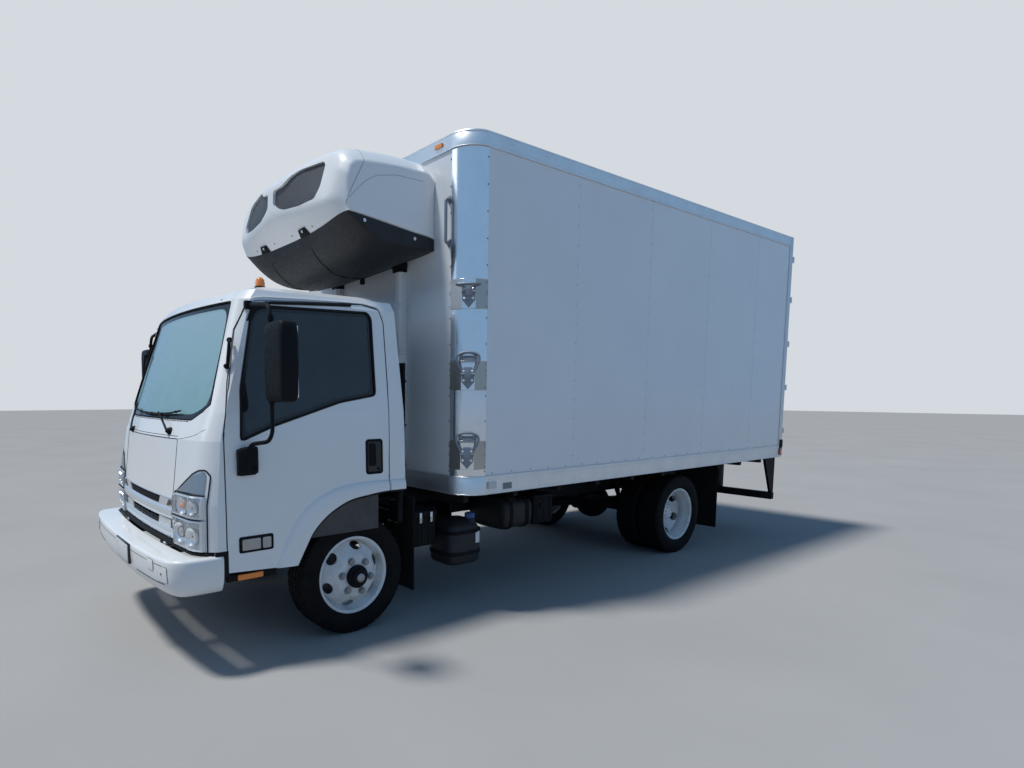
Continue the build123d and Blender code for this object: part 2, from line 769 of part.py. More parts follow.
lower_rail = nose_ring(0, rail_skin, (box_low, bottom_rail_top), rear_frame_y)
upper_rail = nose_ring(0, rail_wall, (top_rail_low, box_top), rear_frame_y)
nose_wall = nose_ring(rail_skin, box_wall, (box_low, top_rail_low), rear_frame_y)

with BuildPart() as box_floor:
    nose_form(rail_skin + box_wall, (box_low, box_floor_top), rear_frame_y)
keep(box_floor.part, "box_floor")

for side, name in ((1, "left"), (-1, "right")):
    with BuildPart() as wall:
        block(sorted((side * wall_in, side * wall_out)), (post_y, rear_frame_y), (box_low, top_rail_low))
    keep(wall.part, f"box_wall_{name}")

with BuildPart() as box_front_wall:
    block((-post_x, post_x), (skin_front, skin_front + box_wall), (box_low, top_rail_low))
keep(box_front_wall.part, "box_front_wall")

with BuildPart() as box_roof:
    block(
        (rail_wall - box_half, box_half - rail_wall),
        (post_y, rear_frame_y),
        (box_top - box_wall, box_top - 4),
    )
    block(
        (corner_radius - box_half, box_half - corner_radius),
        (box_front + rail_wall, post_y),
        (box_top - box_wall, box_top - 4),
    )
keep(box_roof.part, "box_roof")

with BuildPart() as corner_posts:
    add(nose_wall)
    block((-post_x, post_x), (box_front, box_rear), (box_low, top_rail_low), Mode.SUBTRACT)
    block((-box_half, box_half), (post_y, box_rear), (box_low, top_rail_low), Mode.SUBTRACT)
keep(corner_posts.part, "corner_posts")

with BuildPart() as body_rails:
    add(lower_rail)
    add(upper_rail)
keep(body_rails.part, "body_rails")

cargo_hinge_y = box_rear + cargo_hinge_out
leaf_gap = 8
knuckle_half = 12
strap = (box_rear + 6, box_rear + 16)
with BuildPart() as rear_frame:
    block((-box_half, box_half), (rear_frame_y, box_rear), (box_low, box_top))
    door_half = box_half - rear_post
    through = ((-door_half, door_half), (rear_frame_y - 1, box_rear + 1), (box_low - 1, box_top + 1))
    block(*through, Mode.SUBTRACT)
    across_doors = (seat_gap - door_half, door_half - seat_gap)
    block(across_doors, (rear_frame_y, box_rear), (box_low, box_floor_top))
    block(across_doors, (rear_frame_y, box_rear), (header_low, box_top))
    for side in (1, -1):
        x = side * cargo_hinge_x
        web = sorted((side * (cargo_hinge_x - 10), side * (cargo_hinge_x + 10)))
        for z in cargo_hinge_heights:
            for low, high in ((-32, -knuckle_half - 1), (knuckle_half + 1, 32)):
                block(web, (box_rear, cargo_hinge_y), (z + low, z + high))
                rod((x, cargo_hinge_y, z + low), (x, cargo_hinge_y, z + high), cargo_hinge_radius)
            rod((x, cargo_hinge_y, z - 32), (x, cargo_hinge_y, z + 32), cargo_pin_radius)
keep(rear_frame.part, "rear_frame")

# Cargo doors with their lock rods, hung on the rear portal
lock_rod = 11
lock_rod_places = (240, 900)
lock_rod_off = 16
lock_bracket = 26
lock_bracket_heights = (1200, 1700, 2300, 3000)
with BuildPart() as cargo_door:
    block(
        (leaf_gap / 2, box_half - rear_post - leaf_gap),
        (rear_frame_y + 5, box_rear - door_recess),
        (box_floor_top + leaf_gap, header_low - leaf_gap),
    )
    door_face = box_rear - door_recess
    for x in lock_rod_places:
        rod_y = door_face + lock_rod_off
        rod((x, rod_y, box_floor_top + 20), (x, rod_y, header_low - 20), lock_rod)
        for z in lock_bracket_heights:
            block((x - 30, x + 30), (door_face, door_face + lock_bracket), (z - 25, z + 25))
    edge = box_half - rear_post - leaf_gap
    for z in cargo_hinge_heights:
        block((edge - 90, edge), (door_face, strap[1]), (z - 30, z + 30))
        block((edge - 90, cargo_hinge_x - 27), strap, (z - 30, z + 30))
        knuckle_z = (z - knuckle_half, z + knuckle_half)
        block((cargo_hinge_x - 30, cargo_hinge_x), strap, knuckle_z)
        block((cargo_hinge_x - 10, cargo_hinge_x), (strap[0], cargo_hinge_y), knuckle_z)
        pin = (cargo_hinge_x, cargo_hinge_y)
        rod((*pin, z - knuckle_half), (*pin, z + knuckle_half), cargo_hinge_radius)
        rod((*pin, z - 20), (*pin, z + 20), cargo_pin_radius + running_gap, Mode.SUBTRACT)
keep_both_sides(cargo_door.part, "cargo_door")

# Cooling unit on the nose of the box: a white cover over a black belly. Each table row is a
# section along the truck at one distance out from the middle, the same on both sides.
unit_rear = box_front + rail_skin - seat_gap
unit_seam = 2722
roof_end = 62
roof_drop = 45
cover_table = (
    # x; y and z of chin, front below the windows, front above them, brow, roof edge; roof height
    (0, (0, 2738), (-140, 2905), (-160, 3098), (-90, 3185), (35, 3272), 3296),
    (330, (-15, 2732), (-122, 2905), (-60, 3170), (-30, 3222), (50, 3272), 3296),
    (640, (-25, 2748), (-92, 2898), (5, 3165), (25, 3225), (75, 3265), 3292),
    (770, (-10, 2788), (-60, 2885), (-35, 3060), (5, 3170), (85, 3232), 3262),
    (850, (30, 2806), (28, 2880), (32, 3040), (60, 3105), (95, 3130), 3160),
)
belly_table = (
    # x; y and z of front drop, lowest front, lowest rear; height at the box
    (0, (55, 2565), (230, 2455), (450, 2452), 2612),
    (330, (60, 2575), (230, 2468), (450, 2462), 2614),
    (640, (75, 2620), (220, 2535), (440, 2512), 2622),
    (770, (95, 2690), (230, 2610), (430, 2575), 2630),
    (850, (110, 2735), (240, 2665), (430, 2625), 2640),
)
unit_window = (
    (45, 2990), (45, 3092), (150, 3100), (250, 3156), (340, 3178), (590, 3172),
    (628, 3140), (632, 2985), (592, 2915), (400, 2908), (200, 2925), (100, 2958),
)
window_depth = 45
grille_thickness = 16


def across(table):
    """The rows of a half table from one side of the truck to the other."""
    return [(-row[0], *row[1:]) for row in reversed(table[1:])] + list(table)


def cover_form(set_back=0):
    """The cover's outer form, or the same with its front set back."""
    with BuildPart() as form:
        for x, *front, roof in across(cover_table):
            with BuildSketch(side_plane(x)):
                with BuildLine():
                    Polyline(
                        (unit_rear, unit_seam),
                        *[(y + set_back, z) for y, z in front],
                        (unit_rear - roof_end, roof),
                        (unit_rear, roof - roof_drop),
                        close=True,
                    )
                make_face()
        loft(ruled=True)
    return form.part


def unit_openings(grow, mode=Mode.ADD):
    """Prisms through both windows of the cover."""
    for side in (1, -1):
        points = [(side * x, z) for x, z in unit_window]
        extrude(outline(cross_plane(200), points, grow), amount=500, mode=mode)


with BuildPart() as recess:
    unit_openings(0)
    add(cover_form(window_depth), mode=Mode.SUBTRACT)
with BuildPart() as cooling_cover:
    add(cover_form())
    add(recess.part, mode=Mode.SUBTRACT)
keep(cooling_cover.part, "cooling_cover")

with BuildPart() as cooling_grilles:
    unit_openings(-seat_gap)
    add(cover_form(window_depth - seat_gap - grille_thickness), mode=Mode.INTERSECT)
    add(cover_form(window_depth - seat_gap), mode=Mode.SUBTRACT)
keep(cooling_grilles.part, "cooling_grilles")

with BuildPart() as cooling_base:
    for cover_row, belly_row in zip(across(cover_table), across(belly_table)):
        chin_y, chin_z = cover_row[1]
        with BuildSketch(side_plane(cover_row[0])):
            with BuildLine():
                Polyline(
                    (unit_rear, unit_seam - seat_gap),
                    (chin_y, chin_z - seat_gap),
                    *belly_row[1:4],
                    (unit_rear, belly_row[4]),
                    close=True,
                )
            make_face()
    loft(ruled=True)
keep(cooling_base.part, "cooling_base")

conduit_x = (432, 505)
conduit_depth = 62
conduit_z = (1110, 2572)
with BuildPart() as unit_conduits:
    for side in (1, -1):
        x = sorted((side * conduit_x[0], side * conduit_x[1]))
        block(x, (unit_rear - conduit_depth, unit_rear), conduit_z)
keep(unit_conduits.part, "unit_conduits")

# Evaporator under the roof inside the box, with three fan throats facing the load
evaporator_half = 750
evaporator_y = (skin_front + box_wall + seat_gap, 1330)
evaporator_z = (3060, box_top - box_wall - seat_gap)
fan_radius = 95
fan_depth = 60
with BuildPart() as evaporator:
    block((-evaporator_half, evaporator_half), evaporator_y, evaporator_z)
    fan_z = sum(evaporator_z) / 2
    for x in (-480, 0, 480):
        start = (x, evaporator_y[1] - fan_depth, fan_z)
        rod(start, (x, evaporator_y[1] + 5, fan_z), fan_radius, Mode.SUBTRACT)
        rod((x, evaporator_y[1] - fan_depth - 2, fan_z), (x, evaporator_y[1] - 10, fan_z), 30)
keep(evaporator.part, "evaporator")

# Grab rail on the nose and folding steps up the driver's side corner post
rail_bar = 11
grab_x = 1018
grab_z = (2660, 2955)
post_radius = corner_radius - rail_skin
diagonal = cos(radians(45))
step_bar = 7
step_foot = 10
tread_reach = 0.6
step_hinge = (70, 100)
step_table = (
    # middle of its plate, is it folded out
    (1180, False),
    (1742, False),
    (2304, True),
)
step_loop = ((-30, -10), (-82, 95), (-62, 150), (62, 150), (82, 95), (30, -10))


def at_corner(along, height, off):
    """Point by distance along the corner post's face, height, and distance off the face."""
    x = post_x + (post_radius + off + along) * diagonal
    y = post_y + (along - post_radius - off) * diagonal
    return (x, y, height)


with BuildPart() as folding_steps:
    bar_y = unit_rear - 42
    rod((grab_x, bar_y, grab_z[0]), (grab_x, bar_y, grab_z[1]), rail_bar)
    for z in grab_z:
        with Locations((grab_x, front_axle_y + bar_y, z)):
            Sphere(rail_bar + 1)
        rod((grab_x, bar_y, z), (grab_x, unit_rear, z), rail_bar)
    for middle, out in step_table:
        foot = at_corner(0, middle, step_foot)
        origin = (foot[0], front_axle_y + foot[1], foot[2])
        face = Plane(origin=origin, x_dir=(1, 1, 0), z_dir=(1, -1, 0))
        with Locations(face):
            Box(step_hinge[0], step_hinge[1], 2 * (step_foot - seat_gap))
        if out:
            corners = [at_corner(a, middle + 36, max(b, 0) * tread_reach + step_foot) for a, b in step_loop]
        else:
            corners = [at_corner(a, middle + b, step_foot) for a, b in step_loop]
        for a, b in zip(corners, corners[1:]):
            rod(a, b, step_bar)
        for p in corners[1:-1]:
            with Locations((p[0], front_axle_y + p[1], p[2])):
                Sphere(step_bar + 1)
keep(folding_steps.part, "folding_steps")

# Lamps of the box: amber at the top of the nose, red at the back and round ones in the rear sill
marker = (80, 12, 26)
marker_z = (top_rail_low + 40, top_rail_low + 66)
with BuildPart() as box_lamps:
    for x in (-900, -160, 0, 160, 900):
        block((x - 40, x + 40), (box_front - marker[1], box_front - seat_gap), marker_z)
    for side in (1, -1):
        outside = sorted((side * (box_half + seat_gap), side * (box_half + marker[1])))
        block(outside, (post_y + 20, post_y + 100), (bottom_rail_top - 90, bottom_rail_top - 40))
keep(box_lamps.part, "box_lamps")

lamp_radius = 50
with BuildPart() as tail_lamps:
    for x in (-1090, -970, 970, 1090):
        lamp_z = (box_low + box_floor_top) / 2
        rod((x, box_rear + seat_gap, lamp_z), (x, box_rear + marker[1], lamp_z), lamp_radius)
    for x in (-1000, -160, 0, 160, 1000):
        block((x - 40, x + 40), (box_rear + seat_gap, box_rear + marker[1]), marker_z)
    for side in (1, -1):
        outside = sorted((side * (box_half + seat_gap), side * (box_half + marker[1])))
        block(outside, (box_rear - 60, box_rear - 15), (bottom_rail_top - 100, bottom_rail_top - 30))
keep(tail_lamps.part, "tail_lamps")

# Air intake duct behind the cab, on the driver's side rail
intake_x = (905, 985)
intake_y = (cab_rear + 14, cab_rear + 70)
intake_top = 1830
intake_foot = (700, 862)
with BuildPart() as air_intake:
    block(intake_x, intake_y, (intake_foot[1] - 2, intake_top))
    block((rail_x + seat_gap, intake_x[0]), intake_y, (intake_foot[0], 780))
    block((intake_x[0] - 55, intake_x[1]), intake_y, intake_foot)
keep(air_intake.part, "air_intake")

# Liners inside the front wheel arches
liner_x = (775, 950)
liner_wall = 5
well_rear = -500
liner_path = (
    (well_rear + seat_gap, 600), (-427, 600), (-312, 790), (-111, 922), (229, 956), (330, 956),
)
with BuildPart() as arch_liners:
    for side in (1, -1):
        x = sorted((side * liner_x[0], side * liner_x[1]))
        lower = [(y, z - liner_wall) for y, z in reversed(liner_path)]
        side_prism((*liner_path, *lower), *x)
keep(arch_liners.part, "arch_liners")

# Mudguards and flaps
guard_x = (690, 940)
front_guard_y = (496, 504)
flap_x = (570, 1060)
rear_flap_y = (4570, 4578)
with BuildPart() as mudguards:
    for side in (1, -1):
        block(sorted((side * guard_x[0], side * guard_x[1])), front_guard_y, (200, 885))
        block(sorted((side * (rail_x + seat_gap), side * guard_x[0])), front_guard_y, (700, 780))
        block(sorted((side * flap_x[0], side * flap_x[1])), rear_flap_y, (165, box_low - seat_gap))
keep(mudguards.part, "mudguards")

guard_half = 1000
guard_y = (5620, 5680)
guard_z = (380, 480)
with BuildPart() as underride_guard:
    block((-guard_half, guard_half), guard_y, guard_z)
    for side in (1, -1):
        with BuildSketch(side_plane(side * 960 - 4)):
            with BuildLine():
                Polyline(
                    (guard_y[0] - 180, box_low - seat_gap),
                    (guard_y[1] + 10, box_low - seat_gap),
                    (guard_y[1] + 10, guard_z[1]),
                    (guard_y[0], guard_z[1]),
                    close=True,
                )
            make_face()
        extrude(amount=8)
keep(underride_guard.part, "underride_guard")
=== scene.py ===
"""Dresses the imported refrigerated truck: camera, studio light, materials and the detailed pieces."""
import json
import math
from itertools import product

import bmesh
import bpy
from mathutils import Matrix, Vector
from mathutils.bvhtree import BVHTree


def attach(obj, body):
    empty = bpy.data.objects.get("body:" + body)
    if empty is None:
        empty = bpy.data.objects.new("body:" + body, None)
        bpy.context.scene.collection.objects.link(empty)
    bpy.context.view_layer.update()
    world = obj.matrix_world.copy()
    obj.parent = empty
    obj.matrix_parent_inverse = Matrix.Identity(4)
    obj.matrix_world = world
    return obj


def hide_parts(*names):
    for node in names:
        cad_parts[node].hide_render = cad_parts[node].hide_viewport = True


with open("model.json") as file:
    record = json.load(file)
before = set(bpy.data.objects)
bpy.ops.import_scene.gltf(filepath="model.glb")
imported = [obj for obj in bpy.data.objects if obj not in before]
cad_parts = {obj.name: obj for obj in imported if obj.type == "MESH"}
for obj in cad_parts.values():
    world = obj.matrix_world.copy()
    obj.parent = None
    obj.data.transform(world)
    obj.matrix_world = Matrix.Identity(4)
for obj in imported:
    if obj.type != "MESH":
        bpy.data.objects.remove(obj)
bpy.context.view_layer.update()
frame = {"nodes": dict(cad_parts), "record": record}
NODES = frame["nodes"]

# The front axle's place along Y in metres. Every y below counts back from it, in millimetres.
FRONT_AXLE_Y = -2.222
WHEELBASE = 3810.0
TYRE_RADIUS = 400.0
# The driver's side is +X
SIDES = ((1, "left"), (-1, "right"))


def at(x, y, z):
    """A point given in millimetres from the front axle, as a place in the frame."""
    return Vector((x / 1000.0, FRONT_AXLE_Y + y / 1000.0, z / 1000.0))


def linked(name, data):
    """A new object in the scene."""
    obj = bpy.data.objects.new(name, data)
    bpy.context.scene.collection.objects.link(obj)
    return obj


# Camera

CAMERA_PLACE = Vector((4.402712, -4.363815, 1.603514))
CAMERA_YAW = 0.63775
CAMERA_PITCH = -0.09817
CAMERA_ROLL = 0.00136
SENSOR_WIDTH = 36.0
FOCAL_PIXELS = 618.089
PHOTO_WIDTH = 1024.0
PHOTO_HEIGHT = 768.0
CENTRE_PIXEL = (405.601, 456.241)


def make_camera():
    data = bpy.data.cameras.new("camera")
    cam = linked("camera", data)
    flat = math.cos(CAMERA_PITCH)
    forward = Vector((-math.cos(CAMERA_YAW) * flat, math.sin(CAMERA_YAW) * flat, math.sin(CAMERA_PITCH)))
    right = forward.cross(Vector((0, 0, 1))).normalized()
    up = right.cross(forward)
    turned = right * math.cos(CAMERA_ROLL) + up * math.sin(CAMERA_ROLL)
    up = turned.cross(forward)
    rows = Matrix((turned, up, -forward)).transposed()
    cam.matrix_world = Matrix.Translation(CAMERA_PLACE) @ rows.to_4x4()
    data.sensor_fit = "HORIZONTAL"
    data.sensor_width = SENSOR_WIDTH
    data.lens = SENSOR_WIDTH * FOCAL_PIXELS / PHOTO_WIDTH
    data.shift_x = (PHOTO_WIDTH / 2 - CENTRE_PIXEL[0]) / PHOTO_WIDTH
    data.shift_y = (CENTRE_PIXEL[1] - PHOTO_HEIGHT / 2) / PHOTO_WIDTH
    data.clip_end = 300.0
    bpy.context.scene.camera = cam


# Material building

MATERIALS = {}


class Graph:
    """A node material with one Principled shader. Coordinates are the object's own, which are the frame's."""

    def __init__(self, name):
        self.mat = MATERIALS[name] = bpy.data.materials.new(name)
        self.mat.use_nodes = True
        self.tree = self.mat.node_tree
        self.tree.nodes.clear()
        out = self.tree.nodes.new("ShaderNodeOutputMaterial")
        self.shader = self.tree.nodes.new("ShaderNodeBsdfPrincipled")
        self.tree.links.new(self.shader.outputs["BSDF"], out.inputs["Surface"])
        self.place = self.tree.nodes.new("ShaderNodeTexCoord").outputs["Object"]

    def put(self, socket, value):
        """Sets a shader socket to a constant."""
        self.shader.inputs[socket].default_value = value
        return self

    def feed(self, socket, output):
        """Links a node's output to a shader socket."""
        self.tree.links.new(output, self.shader.inputs[socket])
        return self

    def node(self, kind, inputs, **settings):
        """A node with its settings, its inputs given as constants or as other nodes' outputs."""
        made = self.tree.nodes.new("ShaderNode" + kind)
        for key, value in settings.items():
            setattr(made, key, value)
        for key, value in inputs.items():
            if isinstance(value, bpy.types.NodeSocket):
                self.tree.links.new(value, made.inputs[key])
            else:
                made.inputs[key].default_value = value
        return made

    def stretched(self, stretch):
        if stretch is None:
            return self.place
        return self.node("Mapping", {"Scale": stretch, "Vector": self.place}).outputs["Vector"]

    def noise(self, scale, detail=3.0, rough=0.55, stretch=None):
        return self.node("TexNoise", {"Scale": scale, "Detail": detail, "Roughness": rough,
                                      "Vector": self.stretched(stretch)}).outputs["Fac"]

    def cells(self, scale):
        return self.node("TexVoronoi", {"Scale": scale, "Vector": self.place},
                         feature="F1").outputs["Distance"]

    def wave(self, scale, axis="X"):
        return self.node("TexWave", {"Scale": scale, "Vector": self.place}, wave_type="BANDS",
                         bands_direction=axis).outputs["Fac"]

    def axis(self, name):
        """One coordinate of the place, in metres."""
        return self.node("SeparateXYZ", {"Vector": self.place}).outputs[name]

    def math(self, kind, a, b):
        return self.node("Math", {0: a, 1: b}, operation=kind).outputs[0]

    def spread(self, fac, low, high, to_low=0.0, to_high=1.0):
        """Maps fac from low..high to to_low..to_high, clamped."""
        return self.node("MapRange", {"Value": fac, "From Min": low, "From Max": high, "To Min": to_low,
                                      "To Max": to_high}, clamp=True).outputs["Result"]

    def mix(self, fac, a, b):
        """Mixes two colours, each a tuple or an output."""
        node = self.node("Mix", {"Factor": fac}, data_type="RGBA")
        for name, value in (("A", a), ("B", b)):
            socket = [s for s in node.inputs if s.name == name and s.type == "RGBA"][0]
            if isinstance(value, tuple):
                socket.default_value = (*value, 1.0)
            else:
                self.tree.links.new(value, socket)
        return [s for s in node.outputs if s.type == "RGBA"][0]

    def bump(self, height, strength, distance):
        node = self.node("Bump", {"Strength": strength, "Distance": distance, "Height": height})
        self.feed("Normal", node.outputs["Normal"])


def gloss_paint(name, colour, rough=0.3, coat=0.5, dust=0.16, dust_colour=(0.62, 0.6, 0.56)):
    """Sprayed gloss paint: orange peel, faint clouds, and road dust that thickens near the ground."""
    g = Graph(name)
    clouds = g.noise(1.7, 4.0)
    base = g.mix(g.spread(clouds, 0.3, 0.7), colour, tuple(c * 0.955 for c in colour))
    low = g.spread(g.axis("Z"), 0.35, 1.15, 1.0, 0.0)
    grime = g.math("MULTIPLY", low, g.spread(g.noise(9.0, 6.0, 0.7), 0.42, 0.78))
    base = g.mix(g.math("MULTIPLY", grime, dust), base, dust_colour)
    g.feed("Base Color", base)
    g.feed("Roughness", g.spread(g.math("ADD", g.noise(24.0, 5.0), g.math("MULTIPLY", grime, 0.5)),
                                 0.35, 0.95, rough * 0.95, min(1.0, rough * 1.25)))
    g.put("Coat Weight", coat).put("Coat Roughness", 0.06).put("IOR", 1.5)
    g.bump(g.noise(220.0, 2.0), 0.03, 0.0004)
    return g


def plain_plastic(name, colour, rough=0.55, grain=900.0, depth=0.25, worn=(0.2, 0.2, 0.2), shine=0.5):
    """Moulded plastic with a fine leather grain and slightly faded patches."""
    g = Graph(name)
    faded = g.spread(g.noise(6.0, 5.0, 0.6), 0.35, 0.8, 0.0, 0.35)
    g.feed("Base Color", g.mix(faded, colour, tuple((c + w) / 2 for c, w in zip(colour, worn))))
    g.feed("Roughness", g.spread(g.noise(45.0, 4.0), 0.3, 0.7, rough - 0.1, rough + 0.12))
    g.bump(g.cells(grain), depth, 0.0007)
    g.put("Specular IOR Level", shine)


def metal(name, colour, rough=0.35, stretch=(1.0, 1.0, 40.0), streaks=60.0, weight=1.0, dust=0.0):
    """Bare metal with drawn streaks, cloudy oxide and fine scratches."""
    g = Graph(name)
    lines = g.noise(streaks, 3.0, 0.6, stretch)
    oxide = g.noise(5.0, 6.0, 0.65)
    base = g.mix(g.spread(oxide, 0.35, 0.75), colour, tuple(c * 0.9 for c in colour))
    base = g.mix(g.spread(lines, 0.3, 0.7, 0.0, 0.35), base, tuple(min(1.0, c * 1.12) for c in colour))
    if dust:
        low = g.spread(g.axis("Z"), 0.3, 1.2, dust, 0.0)
        base = g.mix(g.math("MULTIPLY", low, g.spread(g.noise(12.0, 6.0, 0.7), 0.4, 0.7)), base,
                     (0.4, 0.36, 0.31))
    g.feed("Base Color", base)
    g.put("Metallic", weight)
    g.feed("Roughness", g.spread(g.math("ADD", lines, g.math("MULTIPLY", oxide, 0.6)), 0.4, 1.1,
                                 rough * 0.7, min(1.0, rough * 1.5)))
    g.bump(lines, 0.08, 0.0008)


def make_materials():
    gloss_paint("cab_paint", (0.8, 0.82, 0.83))
    gloss_paint("panel_white", (0.74, 0.77, 0.8), rough=0.22, coat=0.3, dust=0.15)
    gloss_paint("unit_white", (0.79, 0.81, 0.82), rough=0.35, coat=0.2, dust=0.0)
    gloss_paint("wheel_paint", (0.74, 0.76, 0.77), rough=0.4, coat=0.15, dust=0.6,
                dust_colour=(0.4, 0.36, 0.32))
    gloss_paint("grille_paint", (0.66, 0.69, 0.72), rough=0.24, coat=0.8, dust=0.1).put("Metallic", 0.45)
    gloss_paint("chassis_black", (0.01, 0.01, 0.012), rough=0.5, coat=0.0, dust=0.6,
                dust_colour=(0.05, 0.045, 0.04)).put("Specular IOR Level", 0.08)
    gloss_paint("cap_blue", (0.02, 0.08, 0.3), rough=0.35, coat=0.3)
    gloss_paint("plate_blank", (0.7, 0.71, 0.72), rough=0.4, coat=0.2)
    plain_plastic("black_plastic", (0.006, 0.007, 0.009), rough=0.48, worn=(0.025, 0.025, 0.025), shine=0.1)
    plain_plastic("cab_trim", (0.05, 0.05, 0.055), rough=0.6, grain=700.0)
    plain_plastic("seal_rubber", (0.012, 0.012, 0.013), rough=0.75, grain=1500.0,
                  worn=(0.04, 0.04, 0.04), shine=0.15)
    plain_plastic("unit_black", (0.016, 0.017, 0.02), rough=0.5, grain=600.0,
                  worn=(0.06, 0.06, 0.07), shine=0.3)
    plain_plastic("seam_grey", (0.3, 0.32, 0.34), rough=0.6)
    plain_plastic("label_grey", (0.16, 0.17, 0.18), rough=0.4, grain=500.0, worn=(0.5, 0.5, 0.5))
    plain_plastic("gloss_black", (0.006, 0.006, 0.007), rough=0.2, grain=40.0, depth=0.03,
                  worn=(0.04, 0.04, 0.04))
    metal("bare_aluminium", (0.66, 0.68, 0.7), rough=0.38)
    metal("polished", (0.72, 0.74, 0.76), rough=0.18, stretch=(30.0, 30.0, 1.0))
    metal("stainless", (0.6, 0.6, 0.6), rough=0.32)
    metal("cast_step", (0.22, 0.25, 0.29), rough=0.42, stretch=(6.0, 6.0, 6.0), weight=0.6)
    metal("exhaust_steel", (0.32, 0.29, 0.26), rough=0.5, dust=0.8)
    metal("floor_metal", (0.5, 0.5, 0.5), rough=0.45, stretch=(40.0, 1.0, 1.0))
    metal("cast_block", (0.14, 0.14, 0.14), rough=0.7, stretch=(3.0, 3.0, 3.0), streaks=30.0, weight=0.4,
          dust=0.8)
    metal("bright_steel", (0.68, 0.68, 0.68), rough=0.25, stretch=(8.0, 8.0, 8.0))
    metal("nut_steel", (0.3, 0.31, 0.33), stretch=(8.0, 8.0, 8.0), weight=0.8, dust=0.3)
    metal("warm_plate", (0.42, 0.4, 0.37), rough=0.3, stretch=(1.0, 1.0, 30.0))
    metal("lamp_back", (0.42, 0.44, 0.46), rough=0.3, stretch=(5.0, 5.0, 5.0))
    metal("mirror_silver", (0.8, 0.82, 0.84), rough=0.03, stretch=(2.0, 2.0, 2.0), streaks=8.0)
    metal("lamp_clear", (0.34, 0.36, 0.38), rough=0.14, stretch=(60.0, 1.0, 60.0), weight=0.75)

    g = Graph("unit_mesh")
    holes = g.cells(210.0)
    g.feed("Base Color", g.mix(g.spread(holes, 0.2, 0.45), (0.008, 0.009, 0.01), (0.06, 0.062, 0.068)))
    g.feed("Roughness", g.spread(g.noise(9.0, 4.0), 0.3, 0.7, 0.4, 0.62))
    g.bump(holes, 0.5, 0.002)

    g = gloss_paint("tape_red_white", (0.6, 0.02, 0.02), rough=0.3, coat=0.6)
    red = g.mix(g.spread(g.noise(60.0, 2.0), 0.4, 0.6), (0.5, 0.02, 0.02), (0.38, 0.015, 0.015))
    g.feed("Base Color", g.mix(g.spread(g.wave(0.55), 0.49, 0.51), (0.62, 0.64, 0.66), red))

    g = Graph("tyre")
    dusty = g.spread(g.noise(14.0, 7.0, 0.7), 0.4, 0.75)
    g.feed("Base Color", g.mix(dusty, (0.004, 0.004, 0.005), (0.012, 0.011, 0.011)))
    g.feed("Roughness", g.spread(g.noise(60.0, 4.0), 0.3, 0.7, 0.62, 0.86))
    g.put("Specular IOR Level", 0.12)
    g.bump(g.noise(500.0, 3.0), 0.3, 0.0006)

    for name, colour, dark in (("marker_lens", (0.95, 0.3, 0.03), (0.75, 0.16, 0.01)),
                               ("tail_lens", (0.6, 0.015, 0.012), (0.38, 0.006, 0.006))):
        g = Graph(name)
        ribs = g.wave(90.0, "Y")
        tone = g.mix(g.spread(ribs, 0.2, 0.8), colour, dark)
        if name == "marker_lens":
            # The low lamps on the box's sides have clear lenses
            low = g.spread(g.axis("Z"), 1.0, 1.01, 1.0, 0.0)
            behind = g.spread(g.axis("Y"), -1.8, -1.79, 0.0, 1.0)
            tone = g.mix(g.math("MULTIPLY", low, behind), tone, (0.5, 0.53, 0.57))
        g.feed("Base Color", tone)
        g.feed("Roughness", g.spread(g.noise(40.0, 3.0), 0.3, 0.7, 0.12, 0.24))
        g.put("Coat Weight", 0.8).put("Coat Roughness", 0.04)
        g.bump(ribs, 0.2, 0.0015)

    g = Graph("lamp_lens")
    g.feed("Base Color", g.mix(g.spread(g.noise(20.0, 4.0), 0.3, 0.7), (0.8, 0.83, 0.86), (0.66, 0.7, 0.74)))
    g.feed("Roughness", g.spread(g.noise(50.0, 3.0), 0.3, 0.7, 0.05, 0.14))
    g.put("Alpha", 0.16).put("Coat Weight", 1.0).put("Coat Roughness", 0.03)
    g.bump(g.noise(30.0, 2.0), 0.04, 0.002)

    # The screen is paler than the door windows, which lie outside the two x limits. The screen's colour is a
    # painted sky reflection, and the door windows' dark tint is painted shade of the cab's inside.
    g = Graph("cab_glass")
    inside = g.math("MULTIPLY", g.spread(g.axis("X"), -0.89, -0.885),
                    g.spread(g.axis("X"), 0.885, 0.89, 1.0, 0.0))
    front = g.math("MULTIPLY", inside, g.spread(g.axis("Y"), -2.6, -2.5, 1.0, 0.0))
    # Patchy noise that varies both the painted reflection and the painted shade
    patchy_painted_light = g.spread(g.noise(4.0, 6.0, 0.7), 0.35, 0.75)
    # Door windows: a dark tint that, with the high opacity below, paints the shade inside the cab
    tint_and_painted_shade = g.mix(patchy_painted_light, (0.012, 0.018, 0.022), (0.03, 0.04, 0.045))
    # Screen: a painted sky reflection, lighter towards the top
    painted_sky_reflection = g.mix(g.spread(g.axis("Z"), 1.5, 2.1), (0.27, 0.5, 0.53), (0.42, 0.6, 0.7))
    screen = g.mix(patchy_painted_light, painted_sky_reflection, (0.36, 0.58, 0.64))
    g.feed("Base Color", g.mix(front, tint_and_painted_shade, screen))
    g.feed("Roughness", g.spread(g.noise(8.0, 6.0, 0.7), 0.3, 0.8, 0.02, 0.07))
    # The door windows are nearly opaque, so their dark tint paints the cab's inside as shade
    g.feed("Alpha", g.spread(front, 0.0, 1.0, 0.88, 0.7))
    g.put("Coat Weight", 0.3).put("Coat Roughness", 0.02)
    g.bump(g.noise(1.5, 2.0), 0.02, 0.01)

